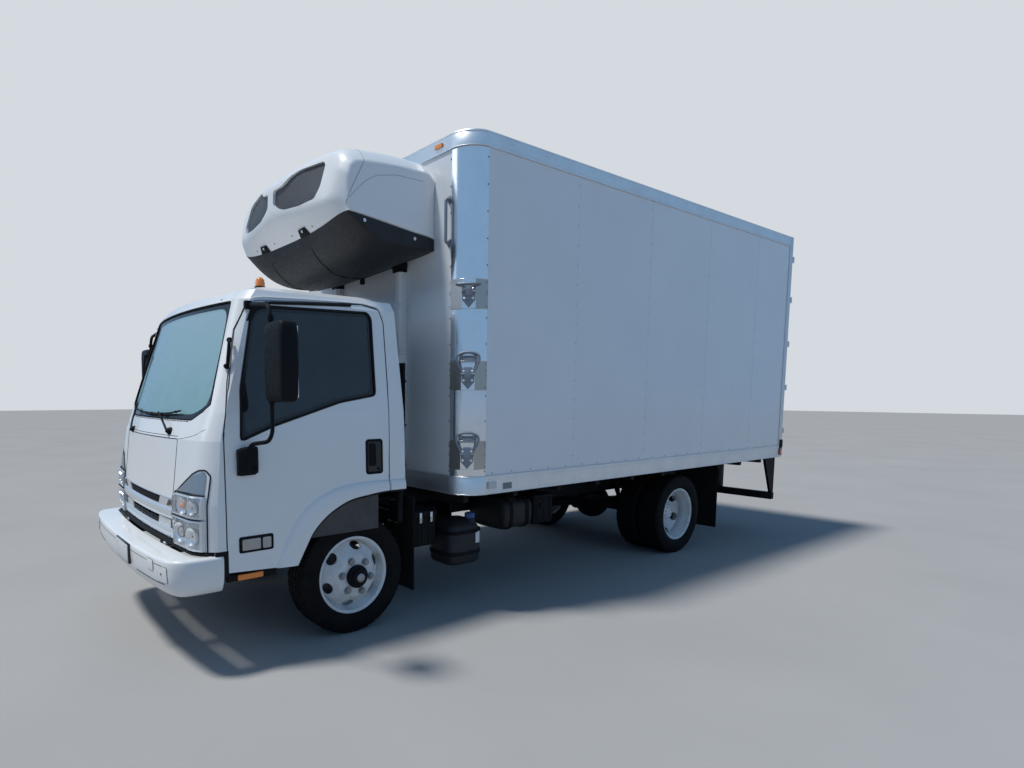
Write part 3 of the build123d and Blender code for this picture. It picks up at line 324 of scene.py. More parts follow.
    g = Graph("seat_cloth")
    weave = g.math("MULTIPLY", g.wave(260.0, "X"), g.wave(260.0, "Z"))
    g.feed("Base Color", g.mix(g.spread(g.noise(30.0, 6.0, 0.7), 0.35, 0.7), (0.035, 0.036, 0.04),
                               (0.07, 0.07, 0.075)))
    g.feed("Roughness", g.spread(weave, 0.0, 1.0, 0.8, 0.95))
    g.put("Sheen Weight", 0.4).put("Sheen Roughness", 0.5)
    g.bump(weave, 0.5, 0.0012)


def shade_smooth(mesh, degrees=32.0):
    mesh.polygons.foreach_set("use_smooth", [True] * len(mesh.polygons))
    mesh.set_sharp_from_angle(angle=math.radians(degrees))


def dress_nodes():
    """Gives each CAD node the material of its slot in the record, or dull rubber round the wheels."""
    for row in frame["record"]["subparts"]:
        finish = "seal_rubber" if row["node"] in ("arch_liners", "mudguards") else row["material_slot"]
        mesh = NODES[row["node"]].data
        mesh.materials.clear()
        mesh.materials.append(MATERIALS[finish])


# Studio

FLOOR_HALF = 70.0
# What the camera and glass see, what gloss reflects, and what lights everything else
WORLD_SEEN = (0.66, 0.7, 0.74, 1.0)
WORLD_SHINE = (0.25, 0.42, 0.65, 1.0)
WORLD_FILL = (0.1, 0.185, 0.32, 1.0)
# name, place, target, width, height, power, colour. Without a width it is a distant lamp and its height
# an angle in degrees.
LAMPS = (
    ("key_front", (-5.5, -12.0, 30.0), (0.0, 0.0, 0.0), 0.0, 8.0, 2.9, (1.0, 0.97, 0.92)),
    ("front_soft", (-7.0, -14.0, 8.0), (-0.3, -2.5, 1.5), 6.0, 5.0, 150.0, (0.95, 0.98, 1.0)),
    ("side_soft", (17.0, 3.0, 8.0), (1.2, 1.0, 1.8), 9.0, 7.0, 230.0, (0.3, 0.62, 1.0)),
)


def make_world():
    world = bpy.data.worlds.new("studio")
    bpy.context.scene.world = world
    world.use_nodes = True
    tree = world.node_tree
    tree.nodes.clear()
    path = tree.nodes.new("ShaderNodeLightPath")

    def background(colour):
        node = tree.nodes.new("ShaderNodeBackground")
        node.inputs["Color"].default_value = colour
        node.inputs["Strength"].default_value = 1.0
        return node.outputs[0]

    def choice(fac, no, yes):
        node = tree.nodes.new("ShaderNodeMixShader")
        for socket, output in enumerate((fac, no, yes)):
            tree.links.new(output, node.inputs[socket])
        return node.outputs[0]

    unseen = choice(path.outputs["Is Glossy Ray"], background(WORLD_FILL), background(WORLD_SHINE))
    either = tree.nodes.new("ShaderNodeMath")
    either.operation = "MAXIMUM"
    tree.links.new(path.outputs["Is Camera Ray"], either.inputs[0])
    tree.links.new(path.outputs["Is Transmission Ray"], either.inputs[1])
    out = tree.nodes.new("ShaderNodeOutputWorld")
    tree.links.new(choice(either.outputs[0], unseen, background(WORLD_SEEN)), out.inputs["Surface"])
    bpy.context.scene.view_settings.view_transform = "Standard"


def make_floor():
    mesh = bpy.data.meshes.new("studio_floor")
    corners = [(FLOOR_HALF * x, FLOOR_HALF * y, 0) for x, y in ((-1, -1), (1, -1), (1, 1), (-1, 1))]
    mesh.from_pydata(corners, [], [(0, 1, 2, 3)])
    linked("studio_floor", mesh)
    g = Graph("studio_floor")
    g.feed("Base Color", g.mix(g.spread(g.noise(0.6, 4.0), 0.3, 0.7), (0.405, 0.403, 0.398),
                               (0.375, 0.374, 0.37)))
    g.feed("Roughness", g.spread(g.noise(3.0, 5.0), 0.3, 0.7, 0.35, 0.5))
    g.put("Specular IOR Level", 0.0)
    mesh.materials.append(g.mat)


def make_lights():
    for name, place, target, width, height, power, colour in LAMPS:
        data = bpy.data.lights.new(name, "AREA" if width else "SUN")
        if width:
            data.shape = "RECTANGLE"
            data.size = width
            data.size_y = height
        else:
            data.angle = math.radians(height)
        data.energy = power
        data.color = colour
        lamp = linked(name, data)
        lamp.location = place
        lamp.rotation_euler = (Vector(target) - Vector(place)).to_track_quat("-Z", "Y").to_euler()
        lamp.visible_glossy = name != "side_soft"


# Mesh building


def turns(count, start=0.0):
    """Cosine and sine of even steps round a circle."""
    angles = [start + 2 * math.pi * k / count for k in range(count)]
    return [(math.cos(a), math.sin(a)) for a in angles]


def signed(value, power):
    """A power of the value's size, with the value's sign."""
    return math.copysign(abs(value) ** power, value)


class Shape:
    """A mesh under construction. Its points are in millimetres from the front axle."""

    def __init__(self):
        self.bm = bmesh.new()

    def skin(self, rings, caps=True):
        """Faces between successive rings. A ring of one point closes to a tip."""
        made = [[self.bm.verts.new(at(*p)) for p in ring] for ring in rings]
        for a, b in zip(made, made[1:]):
            count = max(len(a), len(b))
            for i in range(count):
                j = (i + 1) % count
                if len(a) == 1:
                    self.bm.faces.new((a[0], b[j], b[i]))
                elif len(b) == 1:
                    self.bm.faces.new((a[i], a[j], b[0]))
                else:
                    self.bm.faces.new((a[i], a[j], b[j], b[i]))
        for ring in (made[0][::-1], made[-1]):
            if caps and len(ring) > 2:
                self.bm.faces.new(ring)
        return made

    def bevel(self, edges, size, steps):
        bmesh.ops.bevel(self.bm, geom=edges, offset=size / 1000.0, offset_type="OFFSET", segments=steps,
                        profile=0.5, affect="EDGES", clamp_overlap=True)

    def slab(self, x, y, z, edge=4.0, steps=2, side=1):
        """Block with rounded edges. side is -1 for its mirror image in X."""
        x, y, z = sorted(side * v for v in x), sorted(y), sorted(z)
        low = [(x[0], y[0]), (x[1], y[0]), (x[1], y[1]), (x[0], y[1])]
        made = self.skin([[(*p, z[0]) for p in low], [(*p, z[1]) for p in low]])
        self.bevel(list({e for ring in made for v in ring for e in v.link_edges}), edge, steps)
        return self

    def slabs(self, *rows, side=1):
        """A slab for each row of its x, y and z extent, edge and steps."""
        for row in rows:
            self.slab(*row, side=side)
        return self

    def plate(self, points, along, edge=0.0):
        """Flat outline given thickness by the vector along, its far rim rounded."""
        far = [tuple(a + b for a, b in zip(p, along)) for p in points]
        made = self.skin([points, far])
        if edge:
            rim = set(made[1])
            self.bevel([e for e in {e for v in rim for e in v.link_edges} if set(e.verts) <= rim], edge, 2)
        return self

    def turned(self, centre, axis, profile, sides=24):
        """Ring surface about an axis. The profile's rows are distance along the axis and radius."""
        axis = Vector(axis).normalized()
        side = Vector((0, 0, 1)) if abs(axis.z) < 0.9 else Vector((0, 1, 0))
        side = (side - axis * side.dot(axis)).normalized()
        other = axis.cross(side)
        rings = []
        for off, radius in profile:
            middle = Vector(centre) + axis * off
            rings.append([tuple(middle + (side * c + other * s) * radius) for c, s in turns(sides)]
                         if radius > 0 else [tuple(middle)])
        self.skin(rings, caps=False)
        return self

    def bolt(self, centre, axis, radius, height):
        """Hexagon head with a chamfer on a round washer."""
        self.turned(centre, axis, [(-1, radius * 1.35), (height * 0.15, radius * 1.35), (height * 0.2, 0)],
                    18)
        self.turned(centre, axis, [(0, radius), (height * 0.85, radius), (height, radius * 0.82),
                                   (height, 0)], 6)
        return self

    def dome(self, centre, axis, radius, height, sides=8):
        """Low round head of a rivet or a screw."""
        self.turned(centre, axis, [(0, radius), (height * 0.6, radius * 0.8), (height, 0)], sides)
        return self

    def bolts(self, xs, ys, zs, axis, radius, height):
        """Hexagon heads at every combination of the places."""
        for place in product(xs, ys, zs):
            self.bolt(place, axis, radius, height)

    def heads(self, xs, ys, zs, axis, radius, height, sides=8):
        """Round heads at every combination of the places."""
        for place in product(xs, ys, zs):
            self.dome(place, axis, radius, height, sides)

    def tube(self, points, radius, sides=10, bend=30.0, closed=False):
        """Round bar through the points, its corners bent. radius is one value or one for each point."""
        line = bent(points, bend, closed)
        sweep = []
        normal = None
        count = len(line)
        for i, p in enumerate(line):
            before = line[i - 1] if i or closed else p
            after = line[(i + 1) % count] if i < count - 1 or closed else p
            way = (after - before).normalized()
            if normal is None:
                normal = way.orthogonal().normalized()
            normal = (normal - way * normal.dot(way)).normalized()
            other = way.cross(normal)
            r = radius if isinstance(radius, (int, float)) else radius[i]
            sweep.append([tuple(p + (normal * c + other * s) * r) for c, s in turns(sides)])
        if closed:
            sweep.append(sweep[0])
        self.skin(sweep, caps=not closed)
        return self

    def hoop(self, points, radius, sides=6):
        """Closed bar through the points as they are."""
        return self.tube(points, radius, sides, 0, closed=True)

    def rod(self, points, radius, sides=6):
        """Bar through the points as they are."""
        return self.tube(points, radius, sides, 0)

    def band(self, outer, inner):
        """Flat border between two outlines of as many points."""
        outer, inner = ([self.bm.verts.new(at(*p)) for p in line] for line in (outer, inner))
        count = len(outer)
        for i in range(count):
            j = (i + 1) % count
            self.bm.faces.new((outer[i], outer[j], inner[j], inner[i]))
        return self

    def mesh(self, name):
        """Ends the construction."""
        bmesh.ops.recalc_face_normals(self.bm, faces=self.bm.faces)
        mesh = bpy.data.meshes.new(name)
        self.bm.to_mesh(mesh)
        self.bm.free()
        return mesh

    def done(self, name, body, material, smooth=35.0, subdivide=0, replaces=()):
        return placed(name, self.mesh(name), body, material, smooth, subdivide, replaces)


def subdivided(obj, level):
    step = obj.modifiers.new("smooth", "SUBSURF")
    step.levels = level
    step.render_levels = level


def placed(name, mesh, body, material, smooth=35.0, subdivide=0, replaces=()):
    """Puts a finished mesh into the scene on its body."""
    obj = linked(name, mesh)
    mesh.materials.append(MATERIALS[material])
    shade_smooth(mesh, smooth)
    if subdivide:
        subdivided(obj, subdivide)
    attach(obj, body)
    if replaces:
        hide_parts(*replaces)
    return obj


def bent(points, bend, closed=False):
    """The points as vectors, each corner replaced by a short curve."""
    line = [Vector(p) for p in points]
    if bend <= 0 or len(line) < 3:
        return line
    made = []
    count = len(line)
    for i, p in enumerate(line):
        if not closed and i in (0, count - 1):
            made.append(p)
            continue
        a, b = line[i - 1], line[(i + 1) % count]
        reach = min(bend, (a - p).length * 0.45, (b - p).length * 0.45)
        start = p + (a - p).normalized() * reach
        end = p + (b - p).normalized() * reach
        for t in (0.0, 0.25, 0.5, 0.75, 1.0):
            made.append(start * (1 - t) ** 2 + p * 2 * t * (1 - t) + end * t * t)
    return made


def spaced(points, step, closed=True):
    """Points along a polyline at about even steps."""
    line = [Vector(p) for p in points]
    if closed:
        line.append(line[0])
    made = []
    for a, b in zip(line, line[1:]):
        parts = max(1, round((b - a).length / step))
        made += [a.lerp(b, k / parts) for k in range(parts)]
    if not closed:
        made.append(line[-1])
    return made


def grown(points, out):
    """A closed flat outline of (u, v) points, moved outwards, or inwards when out is negative."""
    flat = [Vector((p[0], p[1])) for p in points]
    count = len(flat)
    area = sum(flat[i - 1].cross(flat[i]) for i in range(count))
    sign = 1.0 if area > 0 else -1.0
    made = []
    for i, p in enumerate(flat):
        a = (p - flat[i - 1]).normalized()
        b = (flat[(i + 1) % count] - p).normalized()
        way = Vector((a.y, -a.x)) * sign + Vector((b.y, -b.x)) * sign
        way = way / max(0.35, way.length_squared / 2)
        made.append(tuple(p + way * out))
    return made


def rounded(points, bend, step=40.0):
    """A closed flat outline with bent corners and points at about even steps."""
    line = bent([(p[0], p[1], 0.0) for p in points], bend, closed=True)
    return [(p.x, p.y) for p in spaced(line, step)]


def mirrored(points, side):
    return [(side * p[0], *p[1:]) for p in points]


def even(points, count):
    """A closed outline resampled to that many points, by length."""
    line = [Vector(p) for p in points]
    line.append(line[0])
    spans = [(b - a).length for a, b in zip(line, line[1:])]
    total = sum(spans)
    made = []
    k = 0
    gone = 0.0
    for i in range(count):
        want = total * i / count
        while k < len(spans) - 1 and gone + spans[k] < want:
            gone += spans[k]
            k += 1
        made.append(tuple(line[k].lerp(line[k + 1], (want - gone) / max(1e-9, spans[k]))))
    return made


def curve_through(points, parts=6):
    """Smooth line through the points (Catmull-Rom), as tuples."""
    line = [Vector(p) for p in points]
    made = []
    for i in range(len(line) - 1):
        p0 = line[max(0, i - 1)]
        p1, p2 = line[i], line[i + 1]
        p3 = line[min(len(line) - 1, i + 2)]
        for k in range(parts):
            t = k / parts
            made.append(0.5 * ((2 * p1) + (p2 - p0) * t + (2 * p0 - 5 * p1 + 4 * p2 - p3) * t * t
                               + (3 * p1 - p0 - 3 * p2 + p3) * t ** 3))
    made.append(line[-1])
    return [tuple(p) for p in made]


def applied(obj):
    """A new mesh of the object with its modifiers carried out."""
    bpy.context.view_layer.update()
    return bpy.data.meshes.new_from_object(obj.evaluated_get(bpy.context.evaluated_depsgraph_get()))


def cut(obj, cutter, operation="DIFFERENCE"):
    """Applies one boolean between two meshes and removes the cutter."""
    step = obj.modifiers.new("cut", "BOOLEAN")
    step.object = cutter
    step.operation = operation
    step.solver = "EXACT"
    made = applied(obj)
    obj.modifiers.clear()
    obj.data = made
    bpy.data.objects.remove(cutter)


def joined(objects, name):
    """One mesh of several helper objects, which are removed."""
    both = bmesh.new()
    for obj in objects:
        both.from_mesh(obj.data)
        bpy.data.objects.remove(obj)
    mesh = bpy.data.meshes.new(name)
    both.to_mesh(mesh)
    both.free()
    return mesh


# The cab's outer form, the same level sections as in the CAD source

CAB_SECTIONS = (
    # z, front middle, corner x, corner front, half width, side start
    (560, -1085, 830, -1050, 1010, -950),
    (980, -1100, 830, -1055, 1010, -945),
    (1341, -1078, 820, -1000, 1000, -915),
    (1500, -1020, 812, -945, 988, -880),
    (2167, -815, 762, -740, 898, -680),
    (2228, -765, 735, -690, 870, -630),
    (2262, -640, 640, -590, 780, -540),
)


def cab_section(z):
    """The section's values at a height, between the nearest two rows."""
    z = min(max(z, CAB_SECTIONS[0][0]), CAB_SECTIONS[-1][0])
    low, high = next(pair for pair in zip(CAB_SECTIONS, CAB_SECTIONS[1:]) if z <= pair[1][0])
    t = (z - low[0]) / (high[0] - low[0])
    return [a + (b - a) * t for a, b in zip(low, high)][1:]


def circle_front(a, b, c, x):
    """The front y at x of the circle through three plan points."""
    d = 2 * (a[0] * (b[1] - c[1]) + b[0] * (c[1] - a[1]) + c[0] * (a[1] - b[1]))
    sa, sb, sc = (p[0] ** 2 + p[1] ** 2 for p in (a, b, c))
    ux = (sa * (b[1] - c[1]) + sb * (c[1] - a[1]) + sc * (a[1] - b[1])) / d
    uy = (sa * (c[0] - b[0]) + sb * (a[0] - c[0]) + sc * (b[0] - a[0])) / d
    radius = math.hypot(a[0] - ux, a[1] - uy)
    return uy - math.sqrt(max(0.0, radius ** 2 - (x - ux) ** 2))


def cab_front(x, z, off=0.0):
    """Point on the cab's front at x and z, moved forward by off."""
    front, corner_x, corner_y, half, side_y = cab_section(z)
    ax = min(abs(x), half)
    if ax <= corner_x:
        y = circle_front((-corner_x, corner_y), (0, front), (corner_x, corner_y), ax)
    else:
        via = (corner_x + 0.68 * (half - corner_x), corner_y + 0.36 * (side_y - corner_y))
        y = circle_front((corner_x, corner_y), via, (half, side_y), ax)
    return (x, y - off, z)


def front_line(points, off=0.0):
    return [cab_front(x, z, off) for x, z in points]


def cab_side(side, y, z, off=0.0):
    """Point on the cab's side at y and z, moved outwards by off."""
    _, corner_x, corner_y, half, side_y = cab_section(z)
    if y < side_y:
        share = min(1.0, (side_y - y) / max(1.0, side_y - corner_y))
        half = half - (half - corner_x) * share ** 2
    return (side * (half + off), y, z)


def side_line(side, points, off=0.0):
    return [cab_side(side, y, z, off) for y, z in points]


# Wheels and tyres

FRONT_WHEEL_X = 833
DISC_OFFSET = 127.5
REAR_OUTER_X = 952.5
REAR_INNER_X = 697.5
STUD_CIRCLE = 111
HOLE_CIRCLE = 196
HAND_HOLES = 6
# Degrees by which the wheels are turned in the photograph
WHEEL_TURN = -9
TREAD_STEPS = 240
# Distance outboard from the tyre's middle, radius. Grooves run round the tread.
TYRE_PROFILE = (
    (84, 262), (92, 263), (100, 270), (108, 288), (112, 312), (112.5, 334), (110, 356), (108.5, 362),
    (108, 368), (106, 378), (101, 389), (94, 395.5), (86, 397.5), (70, 398.8), (66, 390), (59, 390),
    (55, 399.4), (38, 399.8), (30, 400), (27, 390), (20, 390), (17, 400), (5, 400),
)
SHOULDER_ROWS = range(10, 14)
FIRST_TREAD_ROW = 15
# Distance towards the tyre's outboard side, radius: the rim from lip to lip and back inside
RIM_PROFILE = (
    (86, 247), (88, 258), (93, 263), (98, 262), (99, 257), (95, 252), (90, 244), (72, 238), (58, 236),
    (40, 226), (20, 222), (-30, 222), (-58, 236), (-86, 240), (-95, 252), (-99, 257), (-98, 262),
    (-93, 263), (-88, 258), (-86, 247), (-60, 244), (-30, 229), (20, 229), (45, 233), (62, 244),
)
# Distance outboard of the disc's flat, radius: the outer face
DISC_FACE = ((0, 66), (0, 96), (0, 128), (-2, 136), (-9, 146), (-21, 158), (-42, 178), (-62, 198),
             (-78, 212), (-90, 223))
DISC_WALL = 9


def make_tyre(name, body, middles, axle_y, replaces):
    """Tyre with rounded sidewalls, a rim strip, round grooves and notched shoulder blocks."""
    shape = Shape()
    rows = list(TYRE_PROFILE) + [(-a, r) for a, r in reversed(TYRE_PROFILE)]
    last = len(rows) - 1
    for middle in middles:
        rings = []
        for k, (off, radius) in enumerate(rows):
            shoulder = k in SHOULDER_ROWS or last - k in SHOULDER_ROWS
            ribs = FIRST_TREAD_ROW <= k <= last - FIRST_TREAD_ROW and radius > 395
            ring = []
            for i, (c, s) in enumerate(turns(TREAD_STEPS)):
                deep = 7.0 if shoulder and i % 6 == 0 else 0.0
                if ribs and (i + k // 3) % 6 == 3:
                    deep = 4.0
                r = radius - deep
                ring.append((middle + off, axle_y + r * c, TYRE_RADIUS + r * s))
            rings.append(ring)
        shape.skin(rings, caps=False)
    shape.done(name, body, "tyre", smooth=40.0, replaces=replaces)


def make_disc(name, body, faces, axle_y, rims, replaces):
    """Rims with dished discs. faces holds each disc's x, and +1 where it bulges towards +X, else -1."""
    shape = Shape()
    for x in rims:
        shape.turned((x, axle_y, TYRE_RADIUS), (1, 0, 0), RIM_PROFILE + RIM_PROFILE[:1], 96)
    pieces = [linked(name, shape.mesh(name))]
    for face, way in faces:
        shape = Shape()
        outer = [(way * o, r) for o, r in DISC_FACE]
        inner = [(way * (o - DISC_WALL), r - 3) for o, r in reversed(DISC_FACE)]
        shape.turned((face, axle_y, TYRE_RADIUS), (1, 0, 0), outer + inner + outer[:1], 96)
        bmesh.ops.recalc_face_normals(shape.bm, faces=shape.bm.faces)
        bmesh.ops.remove_doubles(shape.bm, verts=shape.bm.verts, dist=1e-5)
        disc = linked(name + "_disc", shape.mesh(name))
        for hole in range(HAND_HOLES):
            a = math.radians(30 + 60 * hole + WHEEL_TURN * way)
            c, s = math.cos(a), math.sin(a)
            y, z = axle_y + HOLE_CIRCLE * c, TYRE_RADIUS + HOLE_CIRCLE * s
            cutter = Shape()
            cutter.skin([[(face + way * off, y - 43 * p * s + 26 * q * c, z + 43 * p * c + 26 * q * s)
                          for p, q in turns(24)] for off in (-130, 60)])
            cut(disc, linked(name + "_hole", cutter.mesh(name)))
        pieces.append(disc)
    placed(name, joined(pieces, name), body, "wheel_paint", smooth=38.0, replaces=replaces)


def wheel_nuts(shape, x, axle_y, side):
    """Six nuts on the stud circle, with the stud ends showing."""
    for c, s in turns(6, math.radians(WHEEL_TURN * side)):
        middle = (x, axle_y + STUD_CIRCLE * c, TYRE_RADIUS + STUD_CIRCLE * s)
        shape.bolt(middle, (side, 0, 0), 20, 27)
        shape.turned(middle, (side, 0, 0), [(20, 9), (31, 9), (34, 6), (34, 0)], 12)


def make_wheels():
    for side, word in SIDES:
        out = (side, 0, 0)
        body = f"wheel_front_{word}"
        middle, face = side * FRONT_WHEEL_X, side * (FRONT_WHEEL_X + DISC_OFFSET)
        make_tyre(f"tread_front_{word}", body, [middle], 0, [f"front_tyre_{word}"])
        make_disc(f"rim_front_{word}", body, [(face, side)], 0, [middle], [f"front_wheel_{word}"])
        shape = Shape()
        wheel_nuts(shape, face, 0, side)
        shape.turned((face, 0, TYRE_RADIUS), out, [(52, 30), (62, 30), (67, 26), (70, 16), (70, 0)], 32)
        shape.done(f"nuts_front_{word}", body, "nut_steel")
        shape = Shape()
        shape.turned((face, 0, TYRE_RADIUS), out,
                     [(-30, 66), (-2, 66), (0, 76), (8, 78), (24, 76), (30, 70), (33, 60), (46, 56), (52, 52),
                      (55, 44), (55, 20), (55, 0)], 48)
        shape.done(f"hub_front_{word}", body, "black_plastic")
        shape = Shape()
        shape.turned((side * 760, 0, TYRE_RADIUS), out,
                     [(0, 36), (0, 184), (4, 190), (14, 190), (17, 186), (22, 190), (40, 190), (46, 182),
                      (60, 120), (120, 112), (165, 104), (180, 70)], 64)
        shape.done(f"drum_front_{word}", body, "cast_block")

        body = f"wheels_rear_{word}"
        middles = [side * REAR_OUTER_X, side * REAR_INNER_X]
        make_tyre(f"tread_rear_{word}", body, middles, WHEELBASE, [f"rear_tyres_{word}"])
        make_disc(f"rim_rear_{word}", body, [(side * 826, -side), (side * 815, side)], WHEELBASE, middles,
                  [f"rear_wheels_{word}"])
        shape = Shape()
        wheel_nuts(shape, side * 836, WHEELBASE, side)
        for c, s in turns(8, math.radians(22.5)):
            shape.bolt((side * 944, WHEELBASE + 56 * c, TYRE_RADIUS + 56 * s), out, 8, 9)
        shape.done(f"nuts_rear_{word}", body, "nut_steel")
        shape = Shape()
        shape.turned((side * 826, WHEELBASE, TYRE_RADIUS), out,
                     [(0, 80), (10, 78), (18, 66), (96, 62), (100, 72), (118, 72), (121, 68), (121, 34),
                      (125, 30), (125, 0)], 48)
        shape.done(f"hub_rear_{word}", body, "wheel_paint")
        shape = Shape()
        shape.turned((side * 650, WHEELBASE, TYRE_RADIUS), out,
                     [(0, 64), (0, 184), (4, 190), (20, 190), (24, 186), (30, 190), (150, 190), (158, 182),
                      (164, 90)], 64)
        shape.done(f"drum_rear_{word}", body, "cast_block")


# Cooling unit

BOX_FRONT = 744.0
BOX_REAR = 5702.0
BOX_HALF = 1219.0
CORNER_RADIUS = 187
# The panels' faces lie this far inside the rails'
PANEL_INSET = 8
UNIT_REAR = 751.0
UNIT_SEAM = 2722.0
UNIT_HALF = 850
# x; y and z of chin, front below the windows, front above them, brow, roof edge; roof height
UNIT_COVER = (
    (0, (0, 2738), (-140, 2905), (-160, 3098), (-90, 3185), (35, 3272), 3296),
    (330, (-15, 2732), (-122, 2905), (-60, 3170), (-30, 3222), (50, 3272), 3296),
    (640, (-25, 2748), (-92, 2898), (5, 3165), (25, 3225), (75, 3265), 3292),
    (770, (-10, 2788), (-60, 2885), (-35, 3060), (5, 3170), (85, 3232), 3262),
    (850, (30, 2806), (28, 2880), (32, 3040), (60, 3105), (95, 3130), 3160),
)
# x; y and z of front drop, lowest front, lowest rear; height at the box
UNIT_BELLY = (
    (0, (55, 2565), (230, 2455), (450, 2452), 2612),
    (330, (60, 2575), (230, 2468), (450, 2462), 2614),
    (640, (75, 2620), (220, 2535), (440, 2512), 2622),
    (770, (95, 2690), (230, 2610), (430, 2575), 2630),
    (850, (110, 2735), (240, 2665), (430, 2625), 2640),
)
UNIT_WINDOW = (
    (45, 2990), (45, 3092), (150, 3100), (250, 3156), (340, 3178), (590, 3172),
    (628, 3140), (632, 2985), (592, 2915), (400, 2908), (200, 2925), (100, 2958),
)
FAN_HEIGHT = 3191


def both_ways(table):
    return [(-row[0], *row[1:]) for row in reversed(table[1:])] + list(table)


def caged(name, rings, lengthwise, rim):
    """Closed form from sections, smoothed by subdivision. lengthwise has one crease for each edge line."""
    shape = Shape()
    made = shape.skin(rings)
    crease = shape.bm.edges.layers.float.new("crease_edge")
    rows = {v: k for ring in made for k, v in enumerate(ring)}
    ends = set(made[0]) | set(made[-1])
    for edge in shape.bm.edges:
        a, b = edge.verts
        if rows[a] == rows[b]:
            edge[crease] = lengthwise[rows[a]]
        elif a in ends and b in ends:
            edge[crease] = rim
    obj = linked(name, shape.mesh(name))
    subdivided(obj, 3)
    mesh = applied(obj)
    bpy.data.objects.remove(obj)
    return mesh


def held(mesh, back=0.0):
    """An object on a copy of a mesh, moved back by that many millimetres."""
    obj = linked("held", mesh.copy())
    obj.data.transform(Matrix.Translation((0, back / 1000.0, 0)))
    return obj


def window_prism(side, grow, rear):
    points = mirrored(grown(rounded(UNIT_WINDOW, 26, 24), grow), side)
    shape = Shape()
    shape.skin([[(x, y, z) for x, z in points] for y in (-400, rear)])
    return linked("window_prism", shape.mesh("window_prism"))


def unit_front(x, z, off=0.0):
    """Point on the slope between the cover's chin and its windows."""
    ax = min(abs(x), UNIT_HALF)
    a, b = next(pair for pair in zip(UNIT_COVER, UNIT_COVER[1:]) if ax <= pair[1][0])
    t = (ax - a[0]) / (b[0] - a[0])
    low, high = ([a[row][k] + (b[row][k] - a[row][k]) * t for k in (0, 1)] for row in (1, 2))
    s = (z - low[1]) / (high[1] - low[1])
    return (x, low[0] + (high[0] - low[0]) * s - off, z)


def snapped(skin, points):
    """The line through the points, drawn on the nearest place of a mesh's surface."""
    made = []
    for p in spaced(bent(points, 20), 30.0, closed=False):
        found = skin.find_nearest(at(*p))[0]
        made.append((found.x * 1000, (found.y - FRONT_AXLE_Y) * 1000, found.z * 1000))
    return made


def make_unit_shell():
    """The cover with its two sunk screens, and the belly. Returns the cover's surface for drawing on."""
    rings = []
    for x, *front, roof in both_ways(UNIT_COVER):
        rings.append([(x, UNIT_REAR, UNIT_SEAM), *[(x, y, z) for y, z in front], (x, 420, roof + 3),
                      (x, UNIT_REAR - 60, roof), (x, UNIT_REAR, roof - 45)])
    cover = caged("unit_cover", rings, (1.0, 1.0, 0.35, 0.45, 0.2, 0.25, 0.0, 0.6, 1.0), 0.62)
    shell = held(cover)
    screens = []
    for side in (1, -1):
        cutter = window_prism(side, 0, 200)
        cut(cutter, held(cover, 34))
        cut(shell, cutter)
        screen = window_prism(side, -0.5, 150)
        cut(screen, held(cover, 20), "INTERSECT")
        screens.append(screen)
    mesh = shell.data
    bpy.data.objects.remove(shell)
    placed("unit_cover", mesh, "chassis", "unit_white", smooth=40.0, replaces=["cooling_cover"])
    placed("unit_screens", joined(screens, "unit_screens"), "chassis", "unit_mesh", 40.0,
           replaces=["cooling_grilles"])

    rings = []
    for (x, chin, *_), (_, *low, rear_z) in zip(both_ways(UNIT_COVER), both_ways(UNIT_BELLY)):
        rings.append([(x, UNIT_REAR, UNIT_SEAM - 1), (x, chin[0] + 2, chin[1] - 2),
                      *[(x, y, z) for y, z in low], (x, UNIT_REAR, rear_z)])
    belly = caged("unit_belly", rings, (1.0, 1.0, 0.1, 0.15, 0.1, 1.0), 0.5)
    placed("unit_belly", belly, "chassis", "unit_black", 40.0, replaces=["cooling_base"])
    return BVHTree.FromPolygons([v.co for v in mesh.vertices], [p.vertices for p in mesh.polygons])


